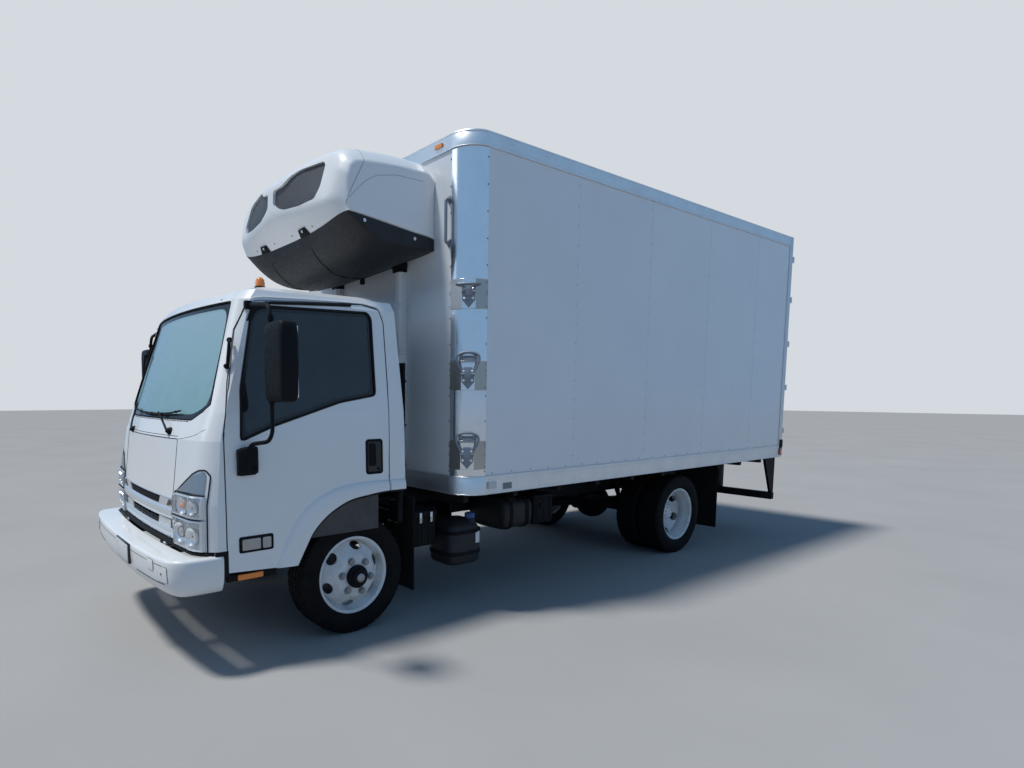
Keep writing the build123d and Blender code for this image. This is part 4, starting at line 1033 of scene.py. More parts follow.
def make_unit_fittings(skin):
    # Black tabs with a bolt in the chin's lower edge, and the small screws beside them
    shape = Shape()
    bright = Shape()
    for side in (1, -1):
        tab = [unit_front(side * x, z, 3) for x, z in ((262, 2730), (278, 2778), (372, 2782), (408, 2733))]
        shape.plate(tab, (0, -5, -3), 2)
        bright.bolt(unit_front(side * 330, 2760, 10), (0, -1, -0.6), 8, 6)
        for x in (150, 470):
            shape.dome(unit_front(side * x, 2768, 0), (0, -1, -0.6), 6, 4, 10)
        for y, z in ((151, 2757), (569, 2698)):
            shape.turned((side * 842, y, z), (side, 0, 0), [(0, 20), (6, 20), (9, 15), (9, 0)], 20)
            bright.bolt((side * 851, y, z), (side, 0, 0), 9, 6)
    shape.done("unit_tabs", "chassis", "black_plastic")
    bright.done("unit_bolts", "chassis", "bright_steel")

    # Joint between the front moulding and the side panel, round the roof and down each side
    seam = Shape()
    for side in (1, -1):
        for radius, line in (
            (2.2, ((848.5, -2, 2835), (851, 60, 2960), (851, 120, 3075), (846, 152, 3140), (812, 160, 3215),
                   (770, 165, 3258), (640, 168, 3290))),
            (1.6, ((851, 18, 2862), (852, 90, 2943), (852, 163, 3012), (852, 248, 3062), (852, 412, 3096),
                   (852, 640, 3100))),
        ):
            seam.rod(snapped(skin, mirrored(line, side)), radius)
    seam.rod(snapped(skin, [(-640, 168, 3290), (-330, 168, 3297), (330, 168, 3297), (640, 168, 3290)]), 2.2)
    seam.done("unit_seams", "chassis", "seam_grey")

    # Long joints of the belly, its drain and the cap over each pipe duct
    ribs = Shape()
    for side in (1, -1):
        line = ((330, -8, 2729), (335, 66, 2588), (338, 220, 2480), (338, 440, 2478), (338, 740, 2600))
        ribs.tube(mirrored(line, side), 3.0, 6, 60)
        ribs.slabs(((410, 525), (672, 751), (2566, 2620), 10), ((418, 518), (680, 751), (2540, 2570), 5),
                   side=side)
    ribs.turned((180, 560, 2540), (0, 0, -1), [(0, 20), (60, 20), (64, 16), (64, 12), (10, 12)], 20)
    ribs.done("unit_trim", "chassis", "black_plastic")


def make_ducts():
    """Pipe ducts down the nose: folded sheet with a bevelled face, straps and screws."""
    duct = Shape()
    screws = Shape()
    for side in (1, -1):
        a, b = sorted((side * 432, side * 505))
        section = ((a, 0), (a, 40), (a + 16, 62), (b - 16, 62), (b, 40), (b, 0))
        duct.skin([[(x, UNIT_REAR - y, z) for x, y in section] for z in (1106, 2572)])
        for z in (1200, 1560, 1920, 2280):
            duct.slab((a - 24, b + 24), (UNIT_REAR - 4, UNIT_REAR), (z, z + 26), 1.5, 1)
            duct.slab((a - 2, b + 2), (UNIT_REAR - 64.5, UNIT_REAR - 2), (z, z + 26), 3, 1)
            for x in (a - 14, b + 14):
                screws.dome((x, UNIT_REAR - 4, z + 13), (0, -1, 0), 6, 4)
    duct.done("pipe_ducts", "chassis", "unit_white", smooth=30.0, replaces=["unit_conduits"])
    screws.done("duct_screws", "chassis", "bright_steel")


def make_evaporator():
    """Evaporator inside the box: sheet housing with its drip tray, and fan guards."""
    inside = Shape()
    inside.slabs(((-750, 750), (828, 1290), (3066, 3316), 14), ((-760, 760), (828, 1310), (3056, 3078), 6))
    inside.done("evaporator_case", "chassis", "unit_white", replaces=["evaporator"])
    guards = Shape()
    for x in (-480, 0, 480):
        guards.turned((x, 1290, FAN_HEIGHT), (0, 1, 0), [(0, 112), (12, 112), (16, 106), (12, 98), (0, 96)],
                      40)
        for radius in (26, 44, 62, 80, 96):
            guards.hoop([(x + radius * c, 1306 - radius * 0.05, FAN_HEIGHT + radius * s)
                         for c, s in turns(32)],
                        1.8, 5)
        for c, s in turns(8)[:4]:
            guards.rod([(x - 100 * c, 1303, FAN_HEIGHT - 100 * s), (x, 1308, FAN_HEIGHT),
                        (x + 100 * c, 1303, FAN_HEIGHT + 100 * s)], 2.2, 5)
        guards.turned((x, 1292, FAN_HEIGHT), (0, 1, 0), [(0, 24), (10, 24), (12, 20), (12, 0)], 20)
    guards.done("evaporator_fans", "chassis", "black_plastic")


# Box body

# Distance from a corner's centre line to its 45 degree face
CORNER_FACE = 179
STEP_HALF = 101
# Height of each folding step's middle, and whether it is folded out
STEP_MIDDLES = ((1180, False), (1742, False), (2304, True))
# Distance along the face, height above the step's middle: the folded step's outer loop
STEP_LOOP = ((-34, 8), (-66, 70), (-82, 112), (-74, 142), (-40, 158), (0, 161), (40, 158), (74, 142),
             (82, 112),
             (66, 70), (34, 8))


def corner_line(inset, z, steps=12):
    """Plan points round the left front corner at a height, from the nose to the side."""
    radius = CORNER_RADIUS - inset
    x, y = BOX_HALF - CORNER_RADIUS, BOX_FRONT + CORNER_RADIUS
    angles = [math.radians(-90 + 90 * k / steps) for k in range(steps + 1)]
    return [(x + radius * math.cos(a), y + radius * math.sin(a), z) for a in angles]


def at_corner(along, up, off):
    """Point by distance along the left corner's 45 degree face, height, and distance off the face."""
    d = math.sqrt(0.5)
    return (BOX_HALF - CORNER_RADIUS + (CORNER_FACE + off + along) * d,
            BOX_FRONT + CORNER_RADIUS + (along - CORNER_FACE - off) * d, up)


def make_corners():
    # Polished covers between the step plates, in sheets with a rolled edge
    covers = Shape()
    plates = Shape()
    bright = Shape()
    screws = Shape()
    # low, high: sheets on the driver's side, and on the other side, which has no steps
    left = ((1028, 1079), (1281, 1641), (1843, 2203), (2405, 3284))
    right = ((1028, 1640), (1640, 2250), (2250, 3284))
    for side, sheets in ((1, left), (-1, right)):
        for low, high in sheets:
            covers.skin([mirrored(corner_line(6.2, z, 16) + corner_line(8.0, z, 16)[::-1], side)
                         for z in (low, high)])
            for z in (low + 2, high - 2):
                covers.rod(mirrored(corner_line(6.4, z, 16), side), 1.6)
        # Screw heads down the covers, in a dark finish that is painted shade
        for z in range(1062, 3280, 180):
            line = corner_line(6.5, z)
            screws.dome((side * (line[0][0] - 7), line[0][1], z), (0, -1, 0), 6.0, 3.4)
            screws.dome((side * line[-1][0], line[-1][1] - 7, z), (side, 0, 0), 6.0, 3.4)
    for middle, _ in STEP_MIDDLES:
        low, high = middle - STEP_HALF, middle + STEP_HALF
        ends = corner_line(3.5, 0)
        line = [p[:2] for p in (ends[0], at_corner(-48, 0, 6), at_corner(48, 0, 6), ends[-1])]
        for p, q, shape in zip(line, line[1:], (plates, bright, plates)):
            way = Vector((q[0] - p[0], q[1] - p[1])).normalized()
            back = [(x - way.y * 6, y + way.x * 6) for x, y in (q, p)]
            shape.skin([[(*spot, z) for spot in (p, q, *back)] for z in (low, high)])
        for z in (low + 18, middle, high - 18):
            screws.dome((line[0][0] - 8, line[0][1], z), (0, -1, 0), 4.5, 3)
            screws.dome((line[3][0], line[3][1] - 8, z), (1, 0, 0), 4.5, 3)
    covers.done("corner_covers", "chassis", "polished", 45.0)
    plates.done("step_plates", "chassis", "warm_plate", 20.0)
    bright.done("step_plate_fronts", "chassis", "polished", 20.0)
    # The screws down the covers take the dark cast_block finish as painted shade
    screws.done("corner_screws", "chassis", "cast_block")


def make_steps():
    bars = Shape()
    bolts = Shape()
    lift = Vector(at_corner(0, 0, 22)) - Vector(at_corner(0, 0, 0))
    for middle, out in STEP_MIDDLES:
        def spot(along, up, off):
            if out:
                return at_corner(along, middle + 48 + off * 0.25, 14 + max(0.0, up) * 0.62)
            return at_corner(along, middle + up, 14 + off)
        bars.tube([spot(a, b, 4) for a, b in STEP_LOOP], 8.5, 10, 24)
        bars.tube([spot(a * 0.72, 20 + (b - 20) * 0.8, 0) for a, b in STEP_LOOP], 4.5, 8, 18)
        for up, half in ((96, 62), (110, 62), (122, 60), (134, 60)):
            bars.rod([spot(-half, up, 2), spot(half, up, 2)], 4, 8)
        # Hinge casting: its body, pointed foot and lid, each an outline, distance off the face,
        # share of the body's thickness and edge
        for outline, off, share, edge in (
            (((-44, -46), (44, -46), (46, 20), (26, 58), (-26, 58), (-46, 20)), 2, 1.0, 6),
            (((-44, -44), (0, -96), (44, -44)), 2, 0.75, 5),
            (((-24, -20), (24, -20), (28, 22), (0, 44), (-28, 22)), 24, 0.45, 4),
        ):
            bars.plate([at_corner(a, middle + b, off) for a, b in outline], tuple(lift * share), edge)
        for along in (-36, 36):
            bars.turned(at_corner(along, middle + 8, 26), (1, 1, 0), [(-12, 0), (-12, 9), (12, 9), (12, 0)],
                        12)
        for along in (-30, 30):
            for up in (-34, 30):
                bolts.bolt(at_corner(along, middle + up, 24), (1, -1, 0), 7, 6)
    # Grab rail on the nose
    x, y, low, high = 1018, BOX_FRONT - 34, 2660, 2955
    bars.tube([(x, BOX_FRONT + 6, low), (x, y, low), (x, y, high), (x, BOX_FRONT + 6, high)], 11, 14, 30)
    for z in (low, high):
        bars.turned((x, BOX_FRONT + 8, z), (0, -1, 0), [(0, 27), (6, 27), (9, 22), (9, 0)], 20)
    bars.done("steps_and_rail", "chassis", "cast_step", smooth=40.0, replaces=["folding_steps"])
    bolts.done("step_bolts", "chassis", "bright_steel")


def make_box():
    # Raised lips along the rails: height, distance out, width, and whether it runs round the nose
    rails = Shape()
    for z, out, high, whole in ((3286, 2.5, 7, True), (3306, 1.5, 4, False), (3380, 2.0, 5, True),
                                (1021, 2.5, 6, True), (1000, 1.5, 3, False), (894, 3.0, 7, True),
                                (914, 1.5, 3, False)):
        for side in (1, -1):
            rails.slab((BOX_HALF - 1, BOX_HALF + out), (BOX_FRONT + CORNER_RADIUS, BOX_REAR - 75),
                       (z, z + high),
                       1, 1, side=side)
            if whole:
                line = [(x, y, z + high / 2) for x, y, _ in corner_line(0.5, z, 14)]
                rails.rod(mirrored(line, side), high / 2)
        if whole:
            rails.slab((-1032, 1032), (BOX_FRONT - out, BOX_FRONT + 1), (z, z + high), 1, 1)
    rails.done("rail_lips", "chassis", "bare_aluminium", smooth=30.0)

    rivets = Shape()
    joints = Shape()
    heads = Shape()
    dark = Shape()
    scuff = Shape()
    for side in (1, -1):
        out = (side, 0, 0)
        rail_face = [side * (BOX_HALF + 0.2)]
        rivets.heads(rail_face, range(960, 5620, 92), (3298, 3352, 1010), out, 4.4, 2.6)
        rivets.heads(rail_face, range(1100, 5620, 408), (906, 930, 954), out, 5.4, 3.2)
        rivets.heads([side * (BOX_HALF - 7.6)], [5612], range(1050, 3280, 80), out, 4, 2.2)
        # Faint joints of the side panels, with painted rivets down each
        for y in (1930, 2925, 3920, 4915):
            joints.slab((BOX_HALF - 8.4, BOX_HALF - 7.0), (y - 17, y + 17), (1026, 3284), 0.6, 1, side=side)
            heads.heads([side * (BOX_HALF - 7.1)], (y - 10, y + 10), range(1060, 3270, 78), out, 3.2, 1.4, 6)
        panel_face = [side * (BOX_HALF - PANEL_INSET)]
        # Screw heads in the dark cast_block finish: their darkness is painted shade
        dark.heads(panel_face, range(1000, 5600, 204), [1046], out, 5.0, 3.0)
        dark.heads(panel_face, (1900, 2895, 3890, 4885), range(1120, 3260, 150), out, 4.2, 2.6)
        scuff.slabs(((1131, 1136), (840, 5600), (1045, 1350), 1.5, 1),
                    ((1127, 1132), (840, 5600), (1130, 1138), 1, 1),
                    ((1127, 1132), (840, 5600), (1230, 1238), 1, 1), side=side)
    rivets.heads(range(-980, 1000, 98), [BOX_FRONT - 0.2], (3300, 3350, 1008), (0, -1, 0), 4.4, 2.6)
    for x in (-520, 520):
        joints.slab((x - 17, x + 17), (BOX_FRONT + 7.0, BOX_FRONT + 8.4), (1026, 3284), 0.6, 1)
    rivets.done("box_rivets", "chassis", "bright_steel")
    # The panel screws' dark finish is painted shade
    dark.done("panel_screws", "chassis", "cast_block")
    joints.done("panel_joints", "chassis", "panel_white", smooth=30.0)
    heads.done("panel_rivets", "chassis", "panel_white")

    # Blank label on the left lower rail, cross seams on the roof
    label = Shape()
    label.slab((BOX_HALF - 0.5, BOX_HALF + 1.5), (1106, 1199), (919, 966), 1.5)
    label.done("blank_label", "chassis", "label_grey")
    roof = Shape()
    for y in range(1250, 5600, 620):
        roof.slab((-1150, 1150), (y - 14, y + 14), (3391, 3394.5), 1, 1)
    roof.done("roof_seams", "chassis", "panel_white")

    # Load space: ribbed floor and scuff bands
    floor = Shape()
    for x in range(-1100, 1101, 50):
        floor.slab((x - 14, x + 14), (840, 5610), (1031, 1040), 2, 1)
    floor.done("floor_ribs", "chassis", "floor_metal")
    scuff.done("scuff_bands", "chassis", "bare_aluminium")


# Cab

# Outlines in x and z on the front, and the door's window in y and z
SCREEN = ((-700, 1455), (700, 1455), (880, 1545), (768, 2160), (-768, 2160), (-880, 1545))
WINDOW = (
    (-795, 1341), (-778, 1640), (-685, 2056), (-640, 2110), (-591, 2128), (135, 2146), (160, 2110),
    (148, 1605), (-127, 1560), (-587, 1423),
)
TRIM_LAMP = ((660, 1040), (958, 1044), (960, 1150), (944, 1168), (914, 1166), (842, 1136), (760, 1086),
             (700, 1050))
TURN_LAMP = ((640, 904), (966, 904), (968, 1032), (694, 1030), (644, 1016))
HEAD_LAMP = ((638, 718), (964, 718), (966, 892), (640, 892))
LAMP_EDGE = ((628, 709), (974, 709), (978, 1150), (952, 1180), (912, 1178), (836, 1148), (752, 1096),
             (684, 1052),
             (632, 1024))
CAB_ROOF = 2263


def span_at(outline, z):
    """Lowest and highest x of an outline of (x, z) points at a height."""
    found = []
    count = len(outline)
    for i in range(count):
        (xa, za), (xb, zb) = outline[i], outline[(i + 1) % count]
        if (za <= z) != (zb <= z):
            found.append(xa + (xb - xa) * (z - za) / (zb - za))
    return min(found), max(found)


def front_patch(shape, outline, off, thick, rows=14, columns=12):
    """Curved sheet on the cab's front inside an outline, thick millimetres deep behind off."""
    low = min(z for _, z in outline) + 0.5
    high = max(z for _, z in outline) - 0.5
    rings = []
    for r in range(rows + 1):
        z = low + (high - low) * r / rows
        a, b = span_at(outline, z)
        face = [cab_front(a + (b - a) * c / columns, z, off) for c in range(columns + 1)]
        rings.append(face + [(p[0], p[1] + thick, p[2]) for p in reversed(face)])
    shape.skin(rings)


def level(half, step, z):
    """Points (x, z) across the front at a height, from one side to the other."""
    return [(x, z) for x in range(-half, half + 1, step)]


def nearest(points, line):
    """For each point of a flat outline the nearest one of another."""
    return [min(line, key=lambda q: (q[0] - p[0]) ** 2 + (q[1] - p[1]) ** 2) for p in points]


def make_screen():
    border = Shape()
    outer = even(SCREEN, 220)
    inner = even(rounded(grown(SCREEN, -32), 95, 20), 880)
    border.band(front_line(outer, -8), front_line(nearest(outer, inner), -8))
    border.done("screen_border", "cab", "gloss_black")
    seal = Shape()
    seal.hoop(front_line(even(grown(SCREEN, -1), 180), -4), 7, 8)
    seal.done("screen_seal", "cab", "seal_rubber")
    # Cowl under the screen
    cowl = Shape()
    for x in range(-640, 641, 40):
        a, b = ((x + shift, cab_front(x + shift, 1447)[1] - 1) for shift in (0, 30))
        cowl.plate([(*a, 1441), (*b, 1441), (*b, 1449), (*a, 1449)], (0, 3, 0))
    cowl.done("cowl_slots", "cab", "gloss_black")

    wipers = Shape()
    lean = (0, -1, 0.35)
    for pivot, tip, blade in (
        ((470, 1382), (216, 1492), ((-210, 1484), (120, 1482), (400, 1492), (548, 1508))),
        ((-372, 1358), (-496, 1500), ((-603, 1512), (-400, 1497), (-100, 1488), (180, 1484))),
    ):
        wipers.turned(cab_front(*pivot), lean, [(-12, 24), (8, 24), (14, 18), (18, 18), (24, 12), (24, 0)],
                      20)
        middle = cab_front(pivot[0] * 0.55 + tip[0] * 0.45, pivot[1] + 62, 26)
        wipers.tube([cab_front(*pivot, 22), middle, cab_front(*tip, 20)], 7, 8, 40)
        wipers.rod(front_line(curve_through(blade, 5), 15), 5.5)
        wipers.rod(front_line(curve_through(blade, 5), 6), 3.2, 4)
        for x, z in curve_through(blade, 2)[1:-1:2]:
            wipers.slab((x - 12, x + 12), (cab_front(x, z, 22)[1], cab_front(x, z, 8)[1]), (z - 7, z + 7), 2,
                        1)
        wipers.bolt(cab_front(*pivot, 24), lean, 7, 6)
    wipers.done("wipers", "cab", "black_plastic")


def front_bar(shape, z_low, z_high, half, bulge, lift_low=0.0, lift_high=0.0):
    """Bar across the front whose edges rise towards its ends by the lifts."""
    section = ((0.0, -12.0), (0.02, -1.0), (0.1, 0.55 * bulge), (0.3, 0.92 * bulge), (0.5, bulge),
               (0.7, 0.92 * bulge), (0.9, 0.55 * bulge), (0.98, -1.0), (1.0, -12.0))
    rings = []
    for k in range(41):
        x = half * (2 * k / 40 - 1)
        t = abs(x / half) ** 3
        low, high = z_low + lift_low * t, z_high + lift_high * t
        rings.append([cab_front(x, low + up * (high - low), out) for up, out in section])
    shape.skin(rings)


def make_front():
    # Thin dark joints round the front panel and under the screen
    seams = Shape()
    panel = ((-606, 979), (606, 979), (606, 1341), (-606, 1341))
    seams.hoop(front_line(rounded(panel, 14, 60), -0.5), 2.6)
    for side in (1, -1):
        line = mirrored(((612, 1341), (700, 1352), (800, 1372), (905, 1408)), side)
        seams.rod(front_line(curve_through(line, 5), -0.8), 1.6)
    seams.rod(front_line(level(600, 60, 1356), -0.6), 2.0)
    seams.done("front_joints", "cab", "seal_rubber")

    cover = Shape()
    front_patch(cover, grown(panel, -2), 0, 6, 20, 40)
    cover.done("front_cover", "cab", "cab_paint", smooth=40.0, replaces=["front_panel"])

    # Grille: a dark backing, two openings with fins, silver bars over and between them
    back = Shape()
    front_patch(back, ((-622, 722), (622, 722), (622, 974), (-622, 974)), -14, 6, 6, 30)
    back.done("grille_backing", "cab", "gloss_black", replaces=["grille"])
    fins = Shape()
    for half, step, level_z, front, z in ((440, 22, 950, 2, (920, 975)), (400, 80, 830, 4, (786, 845))):
        for x in range(-half, half + 1, step):
            y = cab_front(x, level_z)[1]
            fins.slab((x - 4, x + 4), (y + front, y + 20), z, 1.5, 1)
    for z, radius in ((936, 2.6), (953, 2.6), (804, 4.0), (820, 4.0)):
        fins.rod([cab_front(x, z, -6) for x in range(-450, 451, 40)], radius)
    fins.done("grille_fins", "cab", "unit_black")

    bars = Shape()
    vents = Shape()
    front_bar(bars, 842, 924, 612, 16, 8, 6)
    front_bar(bars, 974, 986, 622, 5)
    front_bar(bars, 722, 790, 622, 12, 0, 14)
    front_bar(bars, 738, 754, 560, 17)
    for side in (1, -1):
        # Silver ends beside the two openings, with a dark vent in each
        for end, vent in (
            (((352, 922), (392, 975), (624, 975), (624, 922)),
             ((508, 930), (612, 934), (612, 970), (548, 970))),
            (((352, 846), (322, 788), (624, 800), (624, 846)),
             ((560, 796), (610, 796), (610, 868), (576, 866))),
        ):
            front_patch(bars, mirrored(end, side), 3, 14, 5, 6)
            front_patch(vents, mirrored(vent, side), 6, 4, 3, 4)
        bars.rod([cab_front(side * 622, z, 1) for z in (722, 800, 880, 972)], 5, 8)
    bars.done("grille_bars", "cab", "grille_paint", smooth=50.0)
    vents.done("grille_vents", "cab", "gloss_black")

    # Black rubber strip that closes the gap over the bumper
    strip = Shape()
    rings = []
    for k in range(61):
        x = -980 + 1960 * k / 60
        y = cab_front(x, 720)[1]
        low, high = 692, 726 if abs(x) < 626 else 712
        rings.append([(x, y + dy, z) for dy, z in ((20, low), (-18, low), (-20, low + 5), (-18, low + 11),
                                                   (-11, high - 5), (-6, high), (20, high))])
    strip.skin(rings)
    for side in (1, -1):
        # Its ends, turned down between the bumper and the door
        strip.skin([[cab_side(side, y, z, off)
                     for y, off in ((-965, -4), (-965, 1.5), (-890, 1.5), (-890, -4))]
                    for z in (562, 600, 640, 680, 714)])
    strip.done("bumper_strip", "cab", "seal_rubber", 50.0)


def make_lamps():
    surround = Shape()
    trim = Shape()
    bowls = Shape()
    glass = Shape()
    amber = Shape()
    edge = Shape()
    rubber = Shape()
    for side in (1, -1):
        way = (side * 0.3, -1, 0)
        whole = mirrored(LAMP_EDGE, side)
        front_patch(surround, whole, -2, 4, 24, 12)
        rubber.hoop(front_line(even(whole, 110), 1.0), 4.5)
        front_patch(trim, mirrored(TRIM_LAMP, side), 9, 8, 16, 10)
        for outline in (TURN_LAMP, HEAD_LAMP):
            shape = mirrored(outline, side)
            front_patch(glass, shape, 22, 2, 10, 12)
            line, rim = even(grown(shape, 1), 80), even(grown(shape, -9), 80)
            edge.skin([front_line(line, -1), front_line(line, 21), front_line(rim, 24), front_line(rim, 2)],
                      caps=False)
            # Upright dividers of the bowls
            low, high = outline[0][1] + 8, outline[-2][1] - 8
            for x in (650, 835, 955):
                bowls.rod([cab_front(side * x, z, 6) for z in (low, (low + high) / 2, high)], 5)
        rubber.rod([cab_front(side * x, 898, 22) for x in range(640, 967, 32)], 4)
        rubber.rod([cab_front(side * x, 1037, 12) for x in range(660, 971, 31)], 4)
        for x, z, radius, depth in ((724, 800, 56, 13), (880, 796, 50, 11), (770, 962, 46, 12),
                                    (888, 962, 38, 10)):
            bowls.turned(cab_front(side * x, z, 2), way,
                         [(0, 8), (1, radius * 0.5), (depth * 0.5, radius * 0.85), (depth, radius),
                          (depth + 2, radius + 3), (0, radius + 6)], 32)
        middle = cab_front(side * 724, 800, 4)
        rubber.turned(middle, way, [(0, 34), (5, 33), (5, 29), (0, 28)], 28)
        glass.turned(middle, way, [(0, 28), (7, 26), (12, 19), (15, 9), (16, 0)], 28)
        amber.turned(cab_front(side * 770, 962, 4), way, [(0, 18), (8, 20), (13, 14), (16, 0)], 20)
    surround.done("lamp_buckets", "cab", "lamp_back", replaces=["headlamps"])
    trim.done("lamp_trims", "cab", "lamp_back", 45.0)
    bowls.done("lamp_bowls", "cab", "polished", 60.0)
    glass.done("lamp_glass", "cab", "lamp_lens", smooth=60.0)
    amber.done("turn_bulbs", "cab", "marker_lens", smooth=60.0)
    edge.done("lamp_frames", "cab", "grille_paint", smooth=30.0)
    rubber.done("lamp_joints", "cab", "seal_rubber")

    # Clearance lamps on the roof: x, y, and height as a share of the tallest form
    domes = Shape()
    feet = Shape()
    up = (0, 0, 1)
    for x, y, tall in ((-715, -535, 1.5), (-160, -550, 0.7), (0, -550, 0.7), (160, -550, 0.7),
                       (715, -535, 1.5)):
        feet.turned((x, y, CAB_ROOF - 4), up, [(0, 36), (12, 35), (15, 31), (15, 0)], 28)
        domes.turned((x, y, CAB_ROOF + 10), up, [(0, 29), (14 * tall, 29), (26 * tall, 26), (34 * tall, 19),
                                                 (38 * tall, 9), (39 * tall, 0)], 28)
    domes.done("roof_lamp_domes", "cab", "marker_lens", smooth=60.0, replaces=["cab_lamps"])
    feet.done("roof_lamp_feet", "cab", "black_plastic")


# The flare's crest and the arch's edge, y and z, in matching pairs
FLARE = (
    ((-600, 566), (-458, 562)), ((-546, 690), (-404, 662)), ((-480, 810), (-345, 760)),
    ((-398, 908), (-258, 842)), ((-280, 980), (-160, 900)), ((-150, 1022), (-60, 936)),
    ((20, 1038), (60, 952)), ((130, 1040), (150, 962)), ((226, 1038), (228, 966)),
)
FLARE_REAR = (((242, 1038), (242, 966)), ((300, 1037), (300, 966)), ((366, 1036), (366, 966)))
# Share of the way from crest to edge, distance out
FLARE_SECTION = ((0.0, -1), (0.1, 9), (0.25, 14), (0.6, 17), (0.9, 18), (0.99, 16), (1.02, 8), (1.02, -30),
                 (0.9, -12))


def make_arches():
    for side, word in SIDES:
        for table, body, name in ((FLARE, f"cab_door_{word}", f"flare_{word}"),
                                  (FLARE_REAR, "cab", f"flare_rear_{word}")):
            crest, lip = (curve_through([(*pair[k], 0) for pair in table], 5) for k in (0, 1))
            shape = Shape()
            shape.skin([[cab_side(side, ya + (yb - ya) * t, za + (zb - za) * t, off)
                         for t, off in FLARE_SECTION]
                        for (ya, za, _), (yb, zb, _) in zip(crest, lip)])
            shape.done(name, body, "cab_paint", smooth=40.0)
            rubber = Shape()
            rubber.rod([cab_side(side, y, z - 6, -2) for y, z, _ in lip], 11, 8)
            rubber.done(name + "_lip", body, "seal_rubber")


def side_plate(shape, side, y, z, out, corner):
    """Plate with round corners on the cab's side, y and z its extent."""
    cy, cz = (y[0] + y[1]) / 2, (z[0] + z[1]) / 2
    hy, hz = abs(y[1] - y[0]) / 2 - corner, abs(z[1] - z[0]) / 2 - corner
    ring = [(cy + math.copysign(hy, c) + corner * c, cz + math.copysign(hz, s) + corner * s)
            for c, s in turns(40, math.pi / 40)]
    shape.skin([side_line(side, ring, -3.0), side_line(side, ring, out - 1.5),
                side_line(side, grown(ring, -1.6), out)])


def make_doors():
    for side, word in SIDES:
        body = f"cab_door_{word}"
        outer = even(WINDOW, 200)
        inner = even(rounded(grown(WINDOW, -26), 48, 16), 800)
        band = Shape()
        band.band(side_line(side, outer, -7.5), side_line(side, nearest(outer, inner), -7.5))
        band.done(f"window_border_{word}", body, "gloss_black")
        seal = Shape()
        seal.hoop(side_line(side, even(rounded(WINDOW, 22, 20), 170), -2.5), 8.5, 8)
        # Black strip over the window and the corner piece at its front end
        seal.rod(side_line(side, ((-560, 2152), (-300, 2168), (-60, 2182), (8, 2186)), 6), 10, 10)
        corner = ((-672, 2132), (-712, 2034), (-684, 2036), (-640, 2112), (-560, 2146), (-575, 2160))
        seal.plate(side_line(side, corner, 8), (side * -12, 0, 0))
        seal.done(f"window_seal_{word}", body, "seal_rubber")
        # Handle in its recess with the lock below it, and the side lamp. The y and z extent of each
        # plate, its distance out and corner.
        for name, material, slot, plates in (
            ("handle_frame", "black_plastic", None, [((51, 186), (1084, 1316), 4, 22)]),
            ("handle_recess", "gloss_black", "black_plastic", [((66, 171), (1100, 1300), 4.8, 16)]),
            ("handle", "black_plastic", None, [((74, 128), (1140, 1288), 9, 12)]),
            ("side_lamp_frame", "black_plastic", None, [((-826, -612), (688, 784), 4, 14)]),
            ("side_lamp", "lamp_clear", "lamp_lens", [((-808, -694), (702, 768), 8, 9),
                                                      ((-682, -628), (702, 768), 8, 9)]),
        ):
            shape = Shape()
            for row in plates:
                side_plate(shape, side, *row)
            if name == "handle":
                shape.turned(cab_side(side, 148, 1118, 4), (side, 0, 0), [(0, 11), (2, 11), (3, 9), (3, 0)],
                             20)
            shape.done(f"{name}_{word}", body, material)

        # Drip rail over the door on the cab, and the dark gap round the door
        rail = Shape()
        rail.tube(side_line(side, ((-700, 2140), (-668, 2170), (-600, 2184), (-300, 2196), (100, 2208),
                                   (230, 2190), (262, 2120)), 3), 4.5, 8, 30)
        rail.done(f"drip_rail_{word}", "cab", "cab_paint")
        gap = Shape()
        gap.tube(side_line(side, ((-893, 600), (-893, 1379), (-843, 1671), (-769, 1982), (-712, 2120),
                                  (-668, 2152), (-600, 2164), (96, 2203), (222, 2180), (257, 2095),
                                  (253, 1653), (240, 1045)), -1), 2.6, 6, 24)
        gap.done(f"door_gap_{word}", "cab", "seal_rubber")
        # Black sill under the door with an amber reflector
        sill = Shape()
        sill.slab((850, 946), (-884, -566), (506, 552), 10, 3, side=side)
        for y in range(-850, -580, 30):
            sill.slab((858, 938), (y - 4, y + 4), (550, 554), 1.5, 1, side=side)
        sill.done(f"cab_sill_{word}", "cab", "black_plastic")
        glow = Shape()
        glow.slab((944, 954), (-815, -655), (510, 545), 5, 3, side=side)
        glow.done(f"sill_reflector_{word}", "cab", "marker_lens")
        # Pillar handle
        grab = Shape()
        line = ((905, -806, 1926), (930, -822, 1912), (934, -838, 1776), (918, -834, 1758))
        grab.tube(mirrored(line, side), 10, 10, 18)
        for y, z in ((-814, 1918), (-836, 1768)):
            grab.turned((side * 912, y, z), (side, -0.6, 0), [(0, 15), (14, 15), (18, 11), (18, 0)], 16)
        grab.done(f"pillar_handle_{word}", "cab", "black_plastic")

        # Inside of the door: trim panel, armrest and pull
        lining = Shape()
        lining.slabs(((938, 948), (-800, 190), (700, 1290), 8, 2),
                     ((880, 944), (-480, 120), (1130, 1180), 18, 3),
                     side=side)
        line = ((900, -430, 1210), (880, -420, 1240), (880, -220, 1240), (900, -210, 1210))
        lining.tube(mirrored(line, side), 11, 10, 30)
        lining.done(f"door_lining_{word}", body, "cab_trim")


MIRROR_X = 1312.5
MIRROR_Y = -685
MIRROR_POST = (1221, -700)
# Height, growth of the head's section
MIRROR_HEAD = ((1566, -34), (1569, -20), (1580, -7), (1610, 0), (1780, 4), (1930, 2), (1974, -3), (1990, -14),
               (1995, -32))


